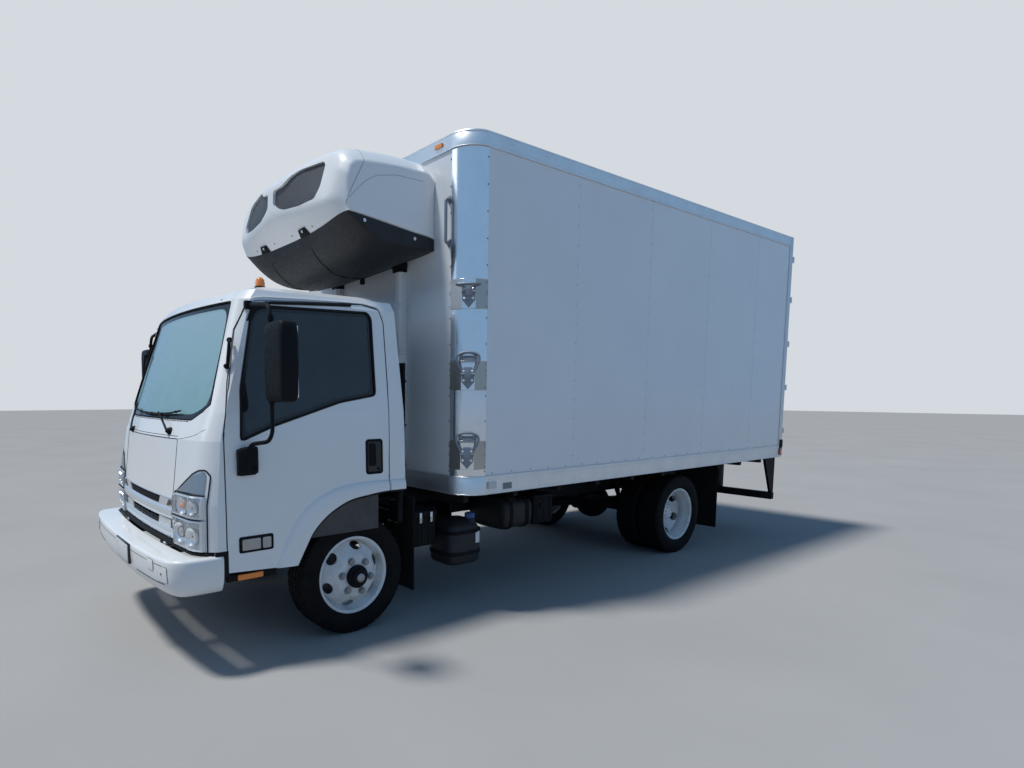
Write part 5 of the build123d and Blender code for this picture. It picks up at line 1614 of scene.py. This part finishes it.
def make_mirrors():
    for side, word in SIDES:
        body = f"cab_door_{word}"
        arm = Shape()
        for line in (((1025, -765, 1270), (1060, -760, 1325), (1190, -710, 1345), (*MIRROR_POST, 1395),
                      (*MIRROR_POST, 1700)),
                     ((*MIRROR_POST, 1800), (*MIRROR_POST, 2040), (1190, -698, 2095), (1060, -694, 2112),
                      (905, -690, 2126))):
            arm.tube(mirrored(line, side), 12, 12, 34)
        for z in (1560, 2008):
            arm.turned((side * MIRROR_POST[0], MIRROR_POST[1], z), (0, 0, 1),
                       [(0, 0), (0, 18), (26, 18), (26, 0)], 16)
        arm.slab((896, 930), (-722, -678), (2102, 2150), 7, side=side)
        arm.done(f"mirror_arm_{word}", body, "black_plastic", replaces=[f"mirror_{word}"])
        # Foot bracket: a tapered cover that hugs the door
        foot = Shape()
        rings = []
        for y, low, high, out in ((-826, 1142, 1290, 34), (-800, 1138, 1302, 46), (-730, 1140, 1312, 44),
                                  (-706, 1150, 1308, 30)):
            x = cab_side(1, y, 1220)[0]
            rings.append([(side * (x + dx), y, z) for dx, z in
                          ((-6, low), (out * 0.8, low + 6), (out, low + 24), (out, high - 24),
                           (out * 0.8, high - 5), (-6, high))])
        foot.skin(rings)
        foot.bolts([side * 1050], (-800, -730), [1180], (side, 0, 0), 8, 6)
        foot.done(f"mirror_foot_{word}", body, "black_plastic", smooth=45.0)
        # Head: a crowned shell, its glass set into the rear face
        head = Shape()
        rings = []
        for z, grow in MIRROR_HEAD:
            half_x, half_y = 110 + grow, 56 + grow * 0.7
            rings.append([(side * (MIRROR_X + half_x * signed(c, 2 / 7)),
                           MIRROR_Y + half_y * signed(s, 2 / 7) * (1.0 if s > 0 else 0.94), z)
                          for c, s in turns(28)])
        head.skin(rings)
        head.done(f"mirror_head_{word}", body, "black_plastic", smooth=50.0)
        glass = Shape()
        glass.slabs(((1222, 1402), (-632, -626), (1720, 1968), 2.4),
                    ((1222, 1402), (-632, -626), (1590, 1706), 2.4),
                    side=side)
        glass.done(f"mirror_glass_{word}", body, "mirror_silver")


# Outer line of the bumper's top edge on the driver's side, x and y
BUMPER_PLAN = (
    (0, -1283), (200, -1282), (420, -1276), (616, -1262), (780, -1245), (890, -1226), (955, -1200),
    (994, -1156),
    (1012, -1100), (1018, -1000), (1018, -920),
)
# Inset from that line, height: the moulding's section from the shelf round to the back
BUMPER_FACE = (
    (20, 690), (10, 688), (3, 682), (0, 672), (0, 640), (1, 600), (5, 560), (14, 530), (26, 504), (40, 484),
    (58, 472), (80, 470), (92, 476), (70, 500), (42, 560), (30, 640), (30, 662),
)


def bumper_line():
    half = [p[:2] for p in curve_through([(*p, 0) for p in BUMPER_PLAN], 6)]
    return mirrored(reversed(half[1:]), -1) + half


def bumper_at(x, z, off=0.0):
    """Point on the bumper's front at x and z."""
    rows = BUMPER_FACE[3:11]
    (in_a, za), (in_b, zb) = next(pair for pair in zip(rows, rows[1:]) if pair[1][1] <= z <= pair[0][1])
    inset = in_a + (in_b - in_a) * (za - z) / (za - zb)
    line = bumper_line()
    (xa, ya), (xb, yb) = next(pair for pair in zip(line, line[1:]) if pair[0][0] <= x <= pair[1][0])
    return (x, ya + (yb - ya) * (x - xa) / max(1e-6, xb - xa) + inset - off, z)


def make_bumper():
    line = bumper_line()
    rings = []
    for i, (x, y) in enumerate(line):
        way = (Vector(line[min(len(line) - 1, i + 1)]) - Vector(line[max(0, i - 1)])).normalized()
        inner_x = x * 0.955
        inner_y = max(cab_front(inner_x, 720)[1] - 34, y + 24 if abs(x) < 1000 else -1100)
        rings.append([(inner_x, inner_y, 668), (inner_x, inner_y, 686), (inner_x, inner_y - 4, 690)]
                     + [(x - way.y * inset, y + way.x * inset, z) for inset, z in BUMPER_FACE])
    shell = Shape()
    shell.skin(rings)
    shell.done("bumper_moulding", "chassis", "cab_paint", smooth=40.0, replaces=["bumper"])

    cover = Shape()
    dark = Shape()
    for side in (1, -1):
        # Square tow cover and the lamp pocket beyond it
        for x0, x1, z0, z1, deep in ((690, 775, 606, 668, 4.0), (822, 930, 560, 650, 3.0)):
            ring = rounded(((x0, z0), (x1, z0), (x1, z1), (x0, z1)), 12, 14)
            cover.skin([[bumper_at(side * x, z, off) for x, z in points]
                        for points, off in ((ring, 0.5), (ring, deep), (grown(ring, -6), deep + 1.2))])
            dark.hoop([bumper_at(side * x, z, 1) for x, z in ring], 1.6)
        dark.rod([bumper_at(side * x, 548, 0.2) for x in range(470, 901, 30)], 2.4)
        dark.dome(bumper_at(side * 876, 606, 4), (0, -1, 0), 6, 3, 10)
    dark.rod([bumper_at(x, z, -0.4) for x, z in level(880, 40, 652)], 1.6)
    cover.done("bumper_covers", "chassis", "cab_paint", smooth=25.0)
    dark.done("bumper_joints", "chassis", "seal_rubber")
    plate = Shape()
    plate.slab((48, 372), (-1290, -1275), (560, 684), 4)
    plate.done("plate_holder", "chassis", "gloss_black")
    blank = Shape()
    blank.slab((59, 361), (-1292.5, -1290), (569, 677), 2)
    blank.done("blank_plate", "chassis", "plate_blank")
    screws = Shape()
    screws.bolts((112, 308), [-1292], [664], (0, -1, 0), 7, 4)
    screws.done("plate_bolts", "chassis", "bright_steel")


# Cab interior


def cushion(shape, place, width, length, thick, channels=(), crown=18.0, pull=10.0, taper=0.0, count=34):
    """Stuffed pad. place maps across, along and up to a point; channels are sewn lines across it."""
    rings = [[place(0, 0, thick * 0.5)]]
    for k in range(1, count):
        t = k / count
        s = 2 * t - 1
        full = (1 - abs(s) ** 7) ** (1 / 2.6)
        sew = sum(math.exp(-((t - c) * length / 9.0) ** 2) for c in channels)
        half = (width / 2 - taper * t) * (1 - 0.10 * (1 - full)) - pull * (1 - s * s) * 0.5
        ring = []
        for c, d in turns(36):
            across = half * signed(c, 0.42) * (0.72 + 0.28 * full)
            up = thick * 0.5 * (1 + full * signed(d, 0.62))
            if d > 0:
                up += (crown * (1 - s * s) * (1 - abs(c) ** 2.2) - 7.0 * sew * (1 - abs(c) ** 6)) * d
            if d > 0.2:
                up += 14.0 * max(0.0, abs(c) - 0.62) * (1 - s * s)
            ring.append(place(across, length * t, up))
        rings.append(ring)
    rings.append([place(0, length, thick * 0.5)])
    shape.skin(rings)


def make_seats():
    frame_parts = Shape()
    piping = Shape()

    def pad(name, fill, place, *sizes, replaces=()):
        """One stuffed pad of a seat, with sewn channels where its sizes name them."""
        shape = Shape()
        cushion(shape, place, *sizes)
        obj = shape.done(name, "cab", "seat_cloth", smooth=60.0, subdivide=1, replaces=replaces)

    for word, x0, x1 in (("driver", 190, 670), ("passenger", -670, -190), ("middle", -146, 146)):
        middle, width = (x0 + x1) / 2, x1 - x0
        pad(f"seat_cushion_{word}", 0.85, lambda u, v, w: (middle + u, -466 + v, 1104 + w), width, 500, 122,
            (0.36, 0.62, 0.84), 20, replaces=["seats"] if word == "driver" else ())
        pad(f"seat_back_{word}", 0.8, lambda u, v, w: (middle + u, 150 - w + v * 0.05, 1196 + v),
            width * 0.97,
            610, 98, (0.3, 0.55, 0.8), 18, 14, 26)
        if word != "middle":
            pad(f"headrest_{word}", 0.9, lambda u, v, w: (middle + u, 158 - w, 1828 + v), 262, 172, 84, (),
                12, 8, 12, 22)
            for x in (middle - 62, middle + 62):
                frame_parts.rod([(x, 118, 1780), (x, 118, 1850)], 6.5, 10)
        # Piping sewn round the top edge of the cushion
        ring = rounded(((x0 + 22, -446), (x1 - 22, -446), (x1 - 22, 10), (x0 + 22, 10)), 46, 24)
        piping.hoop([(x, y, 1207 - 5 * abs(y + 215) / 230) for x, y in ring], 4.2)
        for x in (x0 + 8, x1 - 8):
            frame_parts.slabs(((x - 15, x + 15), (-14, 92), (1112, 1252), 12, 3),
                              ((x - 12, x + 12), (-430, -40), (1100, 1128), 8))
            frame_parts.turned((x, 52, 1196), (1 if x > middle else -1, 0, 0), [(12, 30), (20, 27), (20, 0)],
                               20)
        # Belt buckle on its stalk
        frame_parts.slab((x0 - 22, x0 - 2), (-20, 14), (1180, 1262), 6)
    frame_parts.done("seat_frames", "cab", "cab_trim")
    piping.done("seat_piping", "cab", "cab_trim")


WHEEL_HUB = Vector((430, -560, 1410))
COLUMN_LEAN = math.radians(38)
COLUMN_AXIS = Vector((0, math.sin(COLUMN_LEAN), math.cos(COLUMN_LEAN)))
COLUMN_DOWN = COLUMN_AXIS.cross(Vector((1, 0, 0)))
RIM_RADIUS = 205
SPOKE_END = 198


def on_wheel(u, v, w):
    """Point in the steering wheel's plane, u across and v down, and w along its axis."""
    return tuple(WHEEL_HUB + Vector((1, 0, 0)) * u + COLUMN_DOWN * v + COLUMN_AXIS * w)


def make_steering():
    rim = Shape()
    rim.hoop([on_wheel(RIM_RADIUS * c, RIM_RADIUS * s, 0) for c, s in turns(72)],
             [15.5 + 1.4 * abs(math.sin(18 * math.pi * k / 72)) for k in range(72)], 14)
    for angle, width in ((200, 26), (340, 26), (90, 34)):
        c, s = math.cos(math.radians(angle)), math.sin(math.radians(angle))
        rings = []
        for r, half, thick in ((38, width, 12), (80, width * 0.8, 10), (140, width * 0.62, 8),
                               (SPOKE_END, width * 0.8, 9)):
            drop = -10 + 10 * (r / SPOKE_END) ** 2
            rings.append([on_wheel(r * c - half * s * p, r * s + half * c * p, drop + thick * q)
                          for p, q in ((-1, -0.4), (-0.8, 0.5), (0, 0.8), (0.8, 0.5), (1, -0.4), (0, -0.8))])
        rim.skin(rings)
    rim.skin([[on_wheel((66 + grow) * signed(c, 0.6), (52 + grow) * signed(s, 0.6), w) for c, s in turns(36)]
              for w, grow in ((-34, -14), (-28, 0), (4, 0), (12, -6), (16, -22))])
    rim.done("steering_wheel_rim", "cab", "black_plastic", smooth=50.0, replaces=["steering_wheel"])
    column = Shape()
    column.turned(on_wheel(0, 0, -20), tuple(-COLUMN_AXIS),
                  [(0, 34), (30, 40), (150, 46), (230, 52), (260, 38), (560, 30), (560, 0)], 28)
    for s in (1, -1):
        column.tube([on_wheel(40 * s, 8, -62), on_wheel(150 * s, 2, -50), on_wheel(196 * s, 0, -44)], 7, 8,
                    20)
        column.rod([on_wheel(160 * s, 2, -49), on_wheel(SPOKE_END * s, 0, -44)], 10, 8)
    column.done("steering_column", "cab", "cab_trim")


def make_dash():
    dash = Shape()
    # Instrument hood before the driver and the rolled upper edge of the dashboard
    rings = []
    for k in range(15):
        t = 2 * k / 14 - 1
        high = 72 * (1 - abs(t) ** 3.2)
        rings.append([(240 + 380 * k / 14, y, z + high * share) for y, z, share in (
            (-900, 1396, 0), (-890, 1400, 0.7), (-820, 1402, 1), (-716, 1400, 0.9), (-706, 1398, 0.78),
            (-800, 1392, 0.6), (-806, 1396, 0))])
    dash.skin(rings)
    dash.rod([(x, -694, 1392) for x in range(-840, 841, 60)], 15, 10)
    dash.slabs(((-130, 130), (-684, -668), (1150, 1388), 12, 3),
               ((-700, -260), (-684, -672), (1190, 1330), 14, 3),
               ((240, 620), (-684, -674), (1130, 1250), 14, 3),
               ((700, 860), (-684, -672), (1260, 1350), 10, 3))
    # Ribbed tray on top
    for y in (-940, -900, -860):
        dash.rod([(x, y, 1403) for x in range(-760, 181, 47)], 5)
    dash.done("dash_mouldings", "cab", "cab_trim", smooth=40.0)
    face = Shape()
    for z in ((1300, 1374), (1216, 1286)):
        face.slab((-112, 112), (-670, -663), z, 4)
    for x in (-78, 0, 78):
        face.turned((x, -664, 1184), (0, 1, 0), [(0, 22), (10, 21), (14, 16), (14, 0)], 24)
    # Air outlets with their slats
    for x in (-620, -340, 770, 822):
        face.slab((x - 42, x + 42), (-674, -664), (1285, 1325), 5)
        for z in (1290, 1299, 1308, 1317):
            face.slab((x - 36, x + 36), (-666, -661), (z, z + 3), 0.8, 1)
    for x in (350, 500):
        face.turned((x, -790, 1420), (0, 1, 0.3), [(0, 50), (3, 50), (3, 44), (1, 43), (1, 0)], 32)
    face.done("dash_controls", "cab", "gloss_black")

    # Back wall lining round the rear window, and the sun visors
    trim = Shape()
    for x, z in (((-900, -700), (1160, 2120)), ((700, 900), (1160, 2120)), ((-690, 690), (1160, 1460)),
                 ((-690, 690), (2000, 2120))):
        trim.slab(x, (330, 342), z, 10)
    for side in (1, -1):
        trim.slab((300, 640), (-752, -728), (2052, 2190), 9, 3, side=side)
    trim.done("cab_linings", "cab", "cab_trim")
    glass = Shape()
    glass.slab((-92, 92), (-786, -778), (1990, 2052), 3.5)
    glass.done("inner_mirror_glass", "cab", "mirror_silver")
    stalk = Shape()
    stalk.slab((-104, 104), (-800, -784), (1980, 2062), 7, 3)
    stalk.tube([(0, -796, 2050), (0, -800, 2120), (0, -790, 2160)], 7, 8, 20)
    stalk.done("inner_mirror", "cab", "cab_trim")


# Chassis equipment and the rear

RAIL_X = 425
FUEL_TANK = (668, 625)
FLUID_TANK = (800, 1010)
FLUID_CAP = (880, 1090)
MUFFLER_X = -640
MUFFLER_Z = 590


def oval(half_u, half_v, power=4.0, count=40):
    """Points of a flat form between an ellipse and a rectangle."""
    return [(half_u * signed(c, 2 / power), half_v * signed(s, 2 / power))
            for c, s in turns(count, math.pi / count)]


def make_tanks():
    tank = Shape()
    # Fuel tank: rounded section along the frame with dished ends, each row its y and shrinkage
    (x, z), rings = FUEL_TANK, []
    for y, shrink in ((1468, 70), (1476, 22), (1490, 6), (1510, 0), (1770, 0), (1790, 6), (1804, 22),
                      (1812, 70)):
        rings.append([(x + u, y, z + v) for u, v in oval(228 - shrink, 130 - shrink, 4.5)])
    tank.skin([[(x, 1466, z)], *rings, [(x, 1814, z)]])
    # Fluid tank: upright canister with sloping shoulders and a neck, each row its z and shrinkage
    (x, y), rings = FLUID_TANK, []
    for z, shrink in ((308, 40), (318, 14), (340, 2), (440, 0), (560, 2), (600, 14), (632, 40), (650, 74)):
        rings.append([(x + u, y + v, z) for u, v in oval(156 - shrink, 166 - shrink)])
    tank.skin([[(x, y, 307)], *rings, [(x, y, 655)]])
    x, y = FLUID_CAP
    tank.turned((x, y, 618), (0, 0, 1), [(0, 46), (30, 44), (36, 38), (36, 0)], 28)
    tank.done("tank_shells", "chassis", "unit_black", 45.0, replaces=["side_tanks"])
    cap = Shape()
    ring = [(c * r, s * r) for (c, s), r in zip(turns(36), (35.5, 39) * 18)]
    cap.skin([[(x + u * share, y + v * share, z) for u, v in ring]
              for z, share in ((654, 0.94), (658, 1), (688, 1), (697, 0.86))] + [[(x, y, 699)]])
    cap.done("fluid_cap", "chassis", "cap_blue", 30.0)
    fuel_cap = Shape()
    fuel_cap.turned((850, 1560, 748), (0.25, 0, 1),
                    [(-8, 46), (8, 46), (10, 42), (30, 42), (34, 36), (34, 0)], 30)
    fuel_cap.slab((832, 876), (1552, 1568), (776, 790), 4)
    fuel_cap.done("fuel_cap", "chassis", "black_plastic")
    label = Shape()
    label.slab((954.5, 957.5), (1086, 1126), (470, 560), 1.0, 1)
    label.done("blank_tank_label", "chassis", "plate_blank")

    straps = Shape()
    for y in (1540, 1730):
        for off in (-14, -5, 5, 14):
            straps.hoop([(FUEL_TANK[0] + u, y + off, FUEL_TANK[1] + v)
                         for u, v in oval(231.5, 133.5, 4.5, 48)], 4.4)
        straps.slab((428, 470), (y - 34, y + 34), (500, 770), 8)
    for z in (400, 566):
        for off in (-9, 0, 9):
            straps.hoop([(FLUID_TANK[0] + u, FLUID_TANK[1] + v, z + off) for u, v in oval(159, 169, 4.0, 48)],
                        4.6)
    # Bracket of the fluid tank, with bolts to the frame
    straps.slabs(((427, 660), (905, 925), (560, 740), 6), ((427, 660), (1080, 1100), (560, 740), 6),
                 ((427, 440), (880, 1125), (600, 776), 5))
    straps.bolts([440], (900, 960, 1045, 1105), (640, 740), (1, 0, 0), 10, 8)
    straps.done("tank_straps", "chassis", "chassis_black")

    # Equipment box behind the fuel tank
    box = Shape()
    box.slabs(((470, 880), (1830, 2076), (504, 742), 22, 3), ((464, 888), (1824, 2079), (728, 758), 10),
              ((880, 889), (1900, 2000), (640, 690), 4), ((426, 480), (1850, 2060), (620, 760), 6))
    for y in (1870, 1953, 2036):
        box.slab((878, 884), (y - 8, y + 8), (530, 720), 3)
    box.done("equipment_box", "chassis", "black_plastic")
    battery = Shape()
    battery.slabs(((478, 856), (566, 774), (484, 716), 16, 3), ((470, 862), (560, 780), (700, 758), 14, 3),
                  ((426, 482), (690, 786), (640, 758), 6))
    for y in (600, 640, 700, 740):
        battery.slab((852, 860), (y - 6, y + 6), (500, 690), 3)
    for x in (540, 620, 700, 780):
        battery.slab((x - 10, x + 10), (562, 778), (754, 764), 3)
    battery.done("battery_case", "chassis", "black_plastic", replaces=["battery_box"])
    # Lid catches, and the bolted lug in front of the battery
    catches = Shape()
    for y in (620, 720):
        catches.slab((860, 868), (y - 11, y + 11), (664, 742), 3)
        catches.tube([(868, y - 7, 668), (872, y - 7, 700), (872, y + 7, 700), (868, y + 7, 668)], 2.6, 6, 6)
    catches.slab((640, 760), (480, 492), (668, 716), 3)
    catches.bolt((700, 478, 690), (0, -1, 0), 11, 8)
    catches.done("battery_catches", "chassis", "bright_steel")


def make_muffler():
    """Muffler with rolled seams, its tail pipe and straps."""
    can = Shape()

    def pipe(y, profile, sides):
        can.turned((MUFFLER_X, y, MUFFLER_Z), (0, 1, 0), profile, sides)

    pipe(898, [(0, 60), (2, 118), (10, 132), (16, 142), (24, 142), (30, 137), (870, 137), (876, 142),
               (886, 142),
               (892, 132), (900, 116), (904, 60), (904, 0)], 48)
    pipe(860, [(0, 40), (0, 48), (46, 48)], 28)
    can.rod([(MUFFLER_X, y, MUFFLER_Z) for y in (1790, 2500, 3148)], 45, 24)
    pipe(3146, [(0, 45), (2, 47), (4, 46), (4, 40), (-60, 40)], 24)
    can.done("muffler_can", "chassis", "exhaust_steel", smooth=40.0, replaces=["muffler"])
    straps = Shape()
    for y in (1000, 1700):
        for off in (-12, 0, 12):
            straps.hoop([(MUFFLER_X + 141 * c, y + off, MUFFLER_Z + 141 * s) for c, s in turns(40)], 4.5)
        straps.slabs(((-560, -426), (y - 20, y + 20), (690, 704), 4),
                     ((-440, -426), (y - 32, y + 32), (640, 780), 4))
    straps.bolts([-440], (1000, 1700), (664, 756), (-1, 0, 0), 9, 7)
    straps.done("muffler_straps", "chassis", "chassis_black")


def make_frame_details():
    bolts = Shape()
    springs = Shape()
    flaps = Shape()
    for side in (1, -1):
        bolts.bolts([side * RAIL_X], range(300, 5400, 190), (640, 752), (side, 0, 0), 8, 6)
        # Spring clamps
        for axle_y, low, high in ((0, 330, 560), (WHEELBASE, 360, 600)):
            for y in (axle_y - 62, axle_y + 62):
                springs.tube(mirrored(((388, y, low), (388, y, high), (462, y, high), (462, y, low)), side),
                             8, 8, 16)
                springs.bolts((side * 388, side * 462), [y], [low + 8], (0, 0, -1), 12, 10)
        # Shock absorbers
        for y0, y1, z0, z1 in ((120, 190, 420, 690), (3640, 3560, 430, 700)):
            foot, head = Vector((side * 490, y0, z0)), Vector((side * 478, y1, z1))
            long = (head - foot).length
            springs.turned(tuple(foot), tuple(head - foot),
                           [(0, 0), (0, 22), (long * 0.52, 22), (long * 0.53, 9), (long * 0.56, 9),
                            (long * 0.56, 27), (long, 27), (long, 0)], 20)
        flaps.slabs(((690, 940), (506, 512), (836, 872), 3), ((575, 1055), (4560, 4569), (838, 884), 3),
                    ((640, 990), (4579, 4583), (176, 200), 2), side=side)
        front = [side * x for x in (720, 800, 880)]
        flaps.bolts(front, [512], [854], (0, 1, 0), 8, 6)
        flaps.bolts(front, [496], [854], (0, -1, 0), 8, 6)
        flaps.bolts([side * x for x in (620, 760, 900, 1020)], [4578], [860], (0, 1, 0), 9, 7)
    bolts.done("frame_bolts", "chassis", "chassis_black")
    springs.done("spring_clamps_and_dampers", "chassis", "chassis_black")
    flaps.done("flap_clamps", "chassis", "chassis_black")

    # Air intake behind the cab
    duct = Shape()
    duct.slabs(((900, 968), (388, 404), (1040, 1826), 7, 3), ((780, 900), (390, 440), (700, 860), 14, 3),
               ((426, 800), (392, 436), (706, 776), 12, 3))
    duct.tube([(900, 396, 1060), (905, 404, 940), (880, 415, 850)], 24, 14, 40)
    for z in (1120, 1400, 1700):
        duct.slab((896, 972), (386, 407), (z - 9, z + 9), 4)
    duct.done("intake_duct", "chassis", "black_plastic", replaces=["air_intake"])


def make_rear():
    guard = Shape()
    guard.slab((-1178, 1178), (5622, 5682), (386, 470), 10, 3)
    for side in (1, -1):
        for x in (1132, 1150):
            outline = ((x, 5440, 890), (x, 5690, 890), (x, 5690, 470), (x, 5632, 470))
            guard.plate(mirrored(outline, side), (side * 8, 0, 0))
        guard.slabs(((1128, 1162), (5684, 5692), (470, 892), 2, 1), ((560, 580), (5560, 5680), (470, 892), 4),
                    side=side)
    guard.bolts((1060, -1060), [5682], (420, 440), (0, 1, 0), 9, 7)
    guard.slab((-1000, 1000), (5520, 5600), (868, 892), 4)
    guard.done("rear_guard", "chassis", "chassis_black", replaces=["underride_guard"])
    marks = Shape()
    for x in range(-1120, 841, 280):
        marks.slab((x, x + 260), (5682, 5684), (404, 450), 0.6, 1)
    marks.done("guard_tape", "chassis", "tape_red_white")

    # Dock buffers; rims and lenses of the round lamps and the markers
    step = Shape()
    lens = Shape()
    rims = Shape()
    portal = Shape()
    for side in (1, -1):
        step.slabs(((1150, 1219), (5700, 5732), (900, 1030), 12, 3),
                   ((560, 640), (5700, 5736), (930, 1020), 12, 3),
                   ((1196, 1227), (5650, 5722), (1000, 1096), 8, 3), side=side)
        rims.slab((1218, 1222), (5638, 5692), (918, 1000), 2, 1, side=side)
        lens.slab((1220, 1231), (5643, 5687), (924, 994), 5, 3, side=side)
        portal.heads([side * 1173], [BOX_REAR], range(1100, 3240, 165), (0, 1, 0), 7, 4, 10)
        portal.heads([side * BOX_HALF], [5665], range(1100, 3240, 165), (side, 0, 0), 7, 4, 10)
    for x in (-1090, -970, 970, 1090):
        rims.turned((x, BOX_REAR, 962), (0, 1, 0), [(0, 57), (7, 56), (9, 53), (9, 50), (0, 49)], 40)
        lens.turned((x, BOX_REAR, 962), (0, 1, 0), [(0, 50), (8, 50), (13, 46), (15, 34), (13, 32), (15, 30),
                                                    (17, 14), (15, 12), (16, 0)], 40)
    for x in (-1000, -160, 0, 160, 1000):
        rims.slab((x - 46, x + 46), (5700, 5705), (3323, 3359), 4)
        lens.slab((x - 40, x + 40), (BOX_REAR, 5715), (3328, 3354), 5, 3)
    portal.heads(range(-1080, 1081, 180), [BOX_REAR], [3285], (0, 1, 0), 7, 4, 10)
    step.done("dock_buffers", "chassis", "seal_rubber")
    rims.done("tail_lamp_rims", "chassis", "seal_rubber")
    lens.done("tail_lamp_lenses", "chassis", "tail_lens", smooth=40.0, replaces=["tail_lamps"])
    plate = Shape()
    plate.slabs(((-160, 160), (5703, 5708), (905, 1005), 4), ((-24, 24), (5703, 5724), (1004, 1022), 5))
    plate.done("rear_plate_blank", "chassis", "plate_blank")
    sill = Shape()
    for x in range(-860, 861, 86):
        sill.slab((x - 30, x + 30), (5622, 5700), (1033, 1035.5), 0.8, 1)
    sill.done("sill_treads", "chassis", "cast_step")
    portal.done("portal_rivets", "chassis", "bare_aluminium")


def make_cargo_doors():
    back = (0, 1, 0)
    up = (0, 0, 1)
    for side, word in SIDES:
        body = f"rear_door_{word}"
        bars = Shape()
        for x in (240, 900):
            # Cams, bearing blocks and keepers round each lock rod
            for z in (1052, 3240):
                bars.turned((side * x, 5712, z - 16), up, [(0, 0), (0, 17), (32, 17), (32, 0)], 20)
                bars.slab((x - 8, x + 30), (5706, 5724), (z - 10, z + 10), 3, side=side)
            for z in (1200, 1700, 2300, 3000):
                bars.slabs(((x - 38, x + 38), (5696, 5703), (z - 30, z + 30), 4),
                           ((x - 18, x + 18), (5700, 5725), (z - 22, z + 22), 6, 3), side=side)
                bars.bolts((side * (x - 28), side * (x + 28)), [5703], [z], back, 6, 4)
        bars.done(f"lock_keepers_{word}", body, "stainless")
        # Long handle lying across the door in its keeper
        handle = Shape()
        handle.turned((side * 240, 5712, 1450), up, [(0, 0), (0, 18), (60, 18), (60, 0)], 20)
        line = ((240, 5716, 1480), (300, 5722, 1480), (560, 5722, 1474), (640, 5720, 1450))
        handle.rod(mirrored(line, side), (10, 10, 9, 9), 10)
        handle.slabs(((540, 600), (5696, 5722), (1446, 1502), 6, 3),
                     ((556, 586), (5716, 5729), (1468, 1484), 4),
                     side=side)
        handle.done(f"lock_handle_{word}", body, "bright_steel")
        hinge = Shape()
        for z in (1200, 1700, 2200, 2700, 3150):
            hinge.bolts([side * x for x in (1045, 1085, 1140)], [5718], (z + 16, z - 16), back, 7, 5)
            hinge.turned((side * 1207, 5747, z - 24), up, [(0, 0), (0, 12), (48, 12), (48, 0)], 20)
        hinge.done(f"hinge_bolts_{word}", body, "bright_steel")
        gasket = Shape()
        loop = rounded(((12, 1048), (1111, 1048), (1111, 3246), (12, 3246)), 14, 200)
        gasket.hoop([(side * x, 5692, z) for x, z in loop], 5.5, 8)
        gasket.done(f"door_gasket_{word}", body, "seal_rubber")
        lining = Shape()
        lining.slab((40, 1086), (5626, 5634), (1090, 3210), 6, side=side)
        for z in (1500, 1900, 2400, 2900):
            lining.slab((60, 1066), (5620, 5627), (z - 18, z + 18), 3, side=side)
        lining.done(f"door_inside_{word}", body, "panel_white")


def soften_nodes():
    """Small rounded edges on the CAD pieces that stay in view."""
    for name in (
        "frame_rails", "rear_frame", "body_rails", "box_sills", "engine_block", "rear_axle", "front_axle",
        "knuckle_left", "knuckle_right", "mudguards", "arch_liners", "cargo_door_left", "cargo_door_right",
        "leaf_springs", "box_lamps",
    ):
        weld = NODES[name].modifiers.new("weld", "WELD")
        weld.merge_threshold = 1e-5
        edge = NODES[name].modifiers.new("edge", "BEVEL")
        edge.limit_method = "ANGLE"
        edge.angle_limit = math.radians(40)
        edge.width = 0.002
        edge.segments = 1
        edge.use_clamp_overlap = True


make_camera()
make_materials()
dress_nodes()
make_world()
make_floor()
make_lights()
make_wheels()
make_unit_fittings(make_unit_shell())
make_ducts()
make_evaporator()
make_corners()
make_steps()
make_box()
make_screen()
make_front()
make_lamps()
make_arches()
make_doors()
make_mirrors()
make_bumper()
make_seats()
make_steering()
make_dash()
make_tanks()
make_muffler()
make_frame_details()
make_rear()
make_cargo_doors()
soften_nodes()
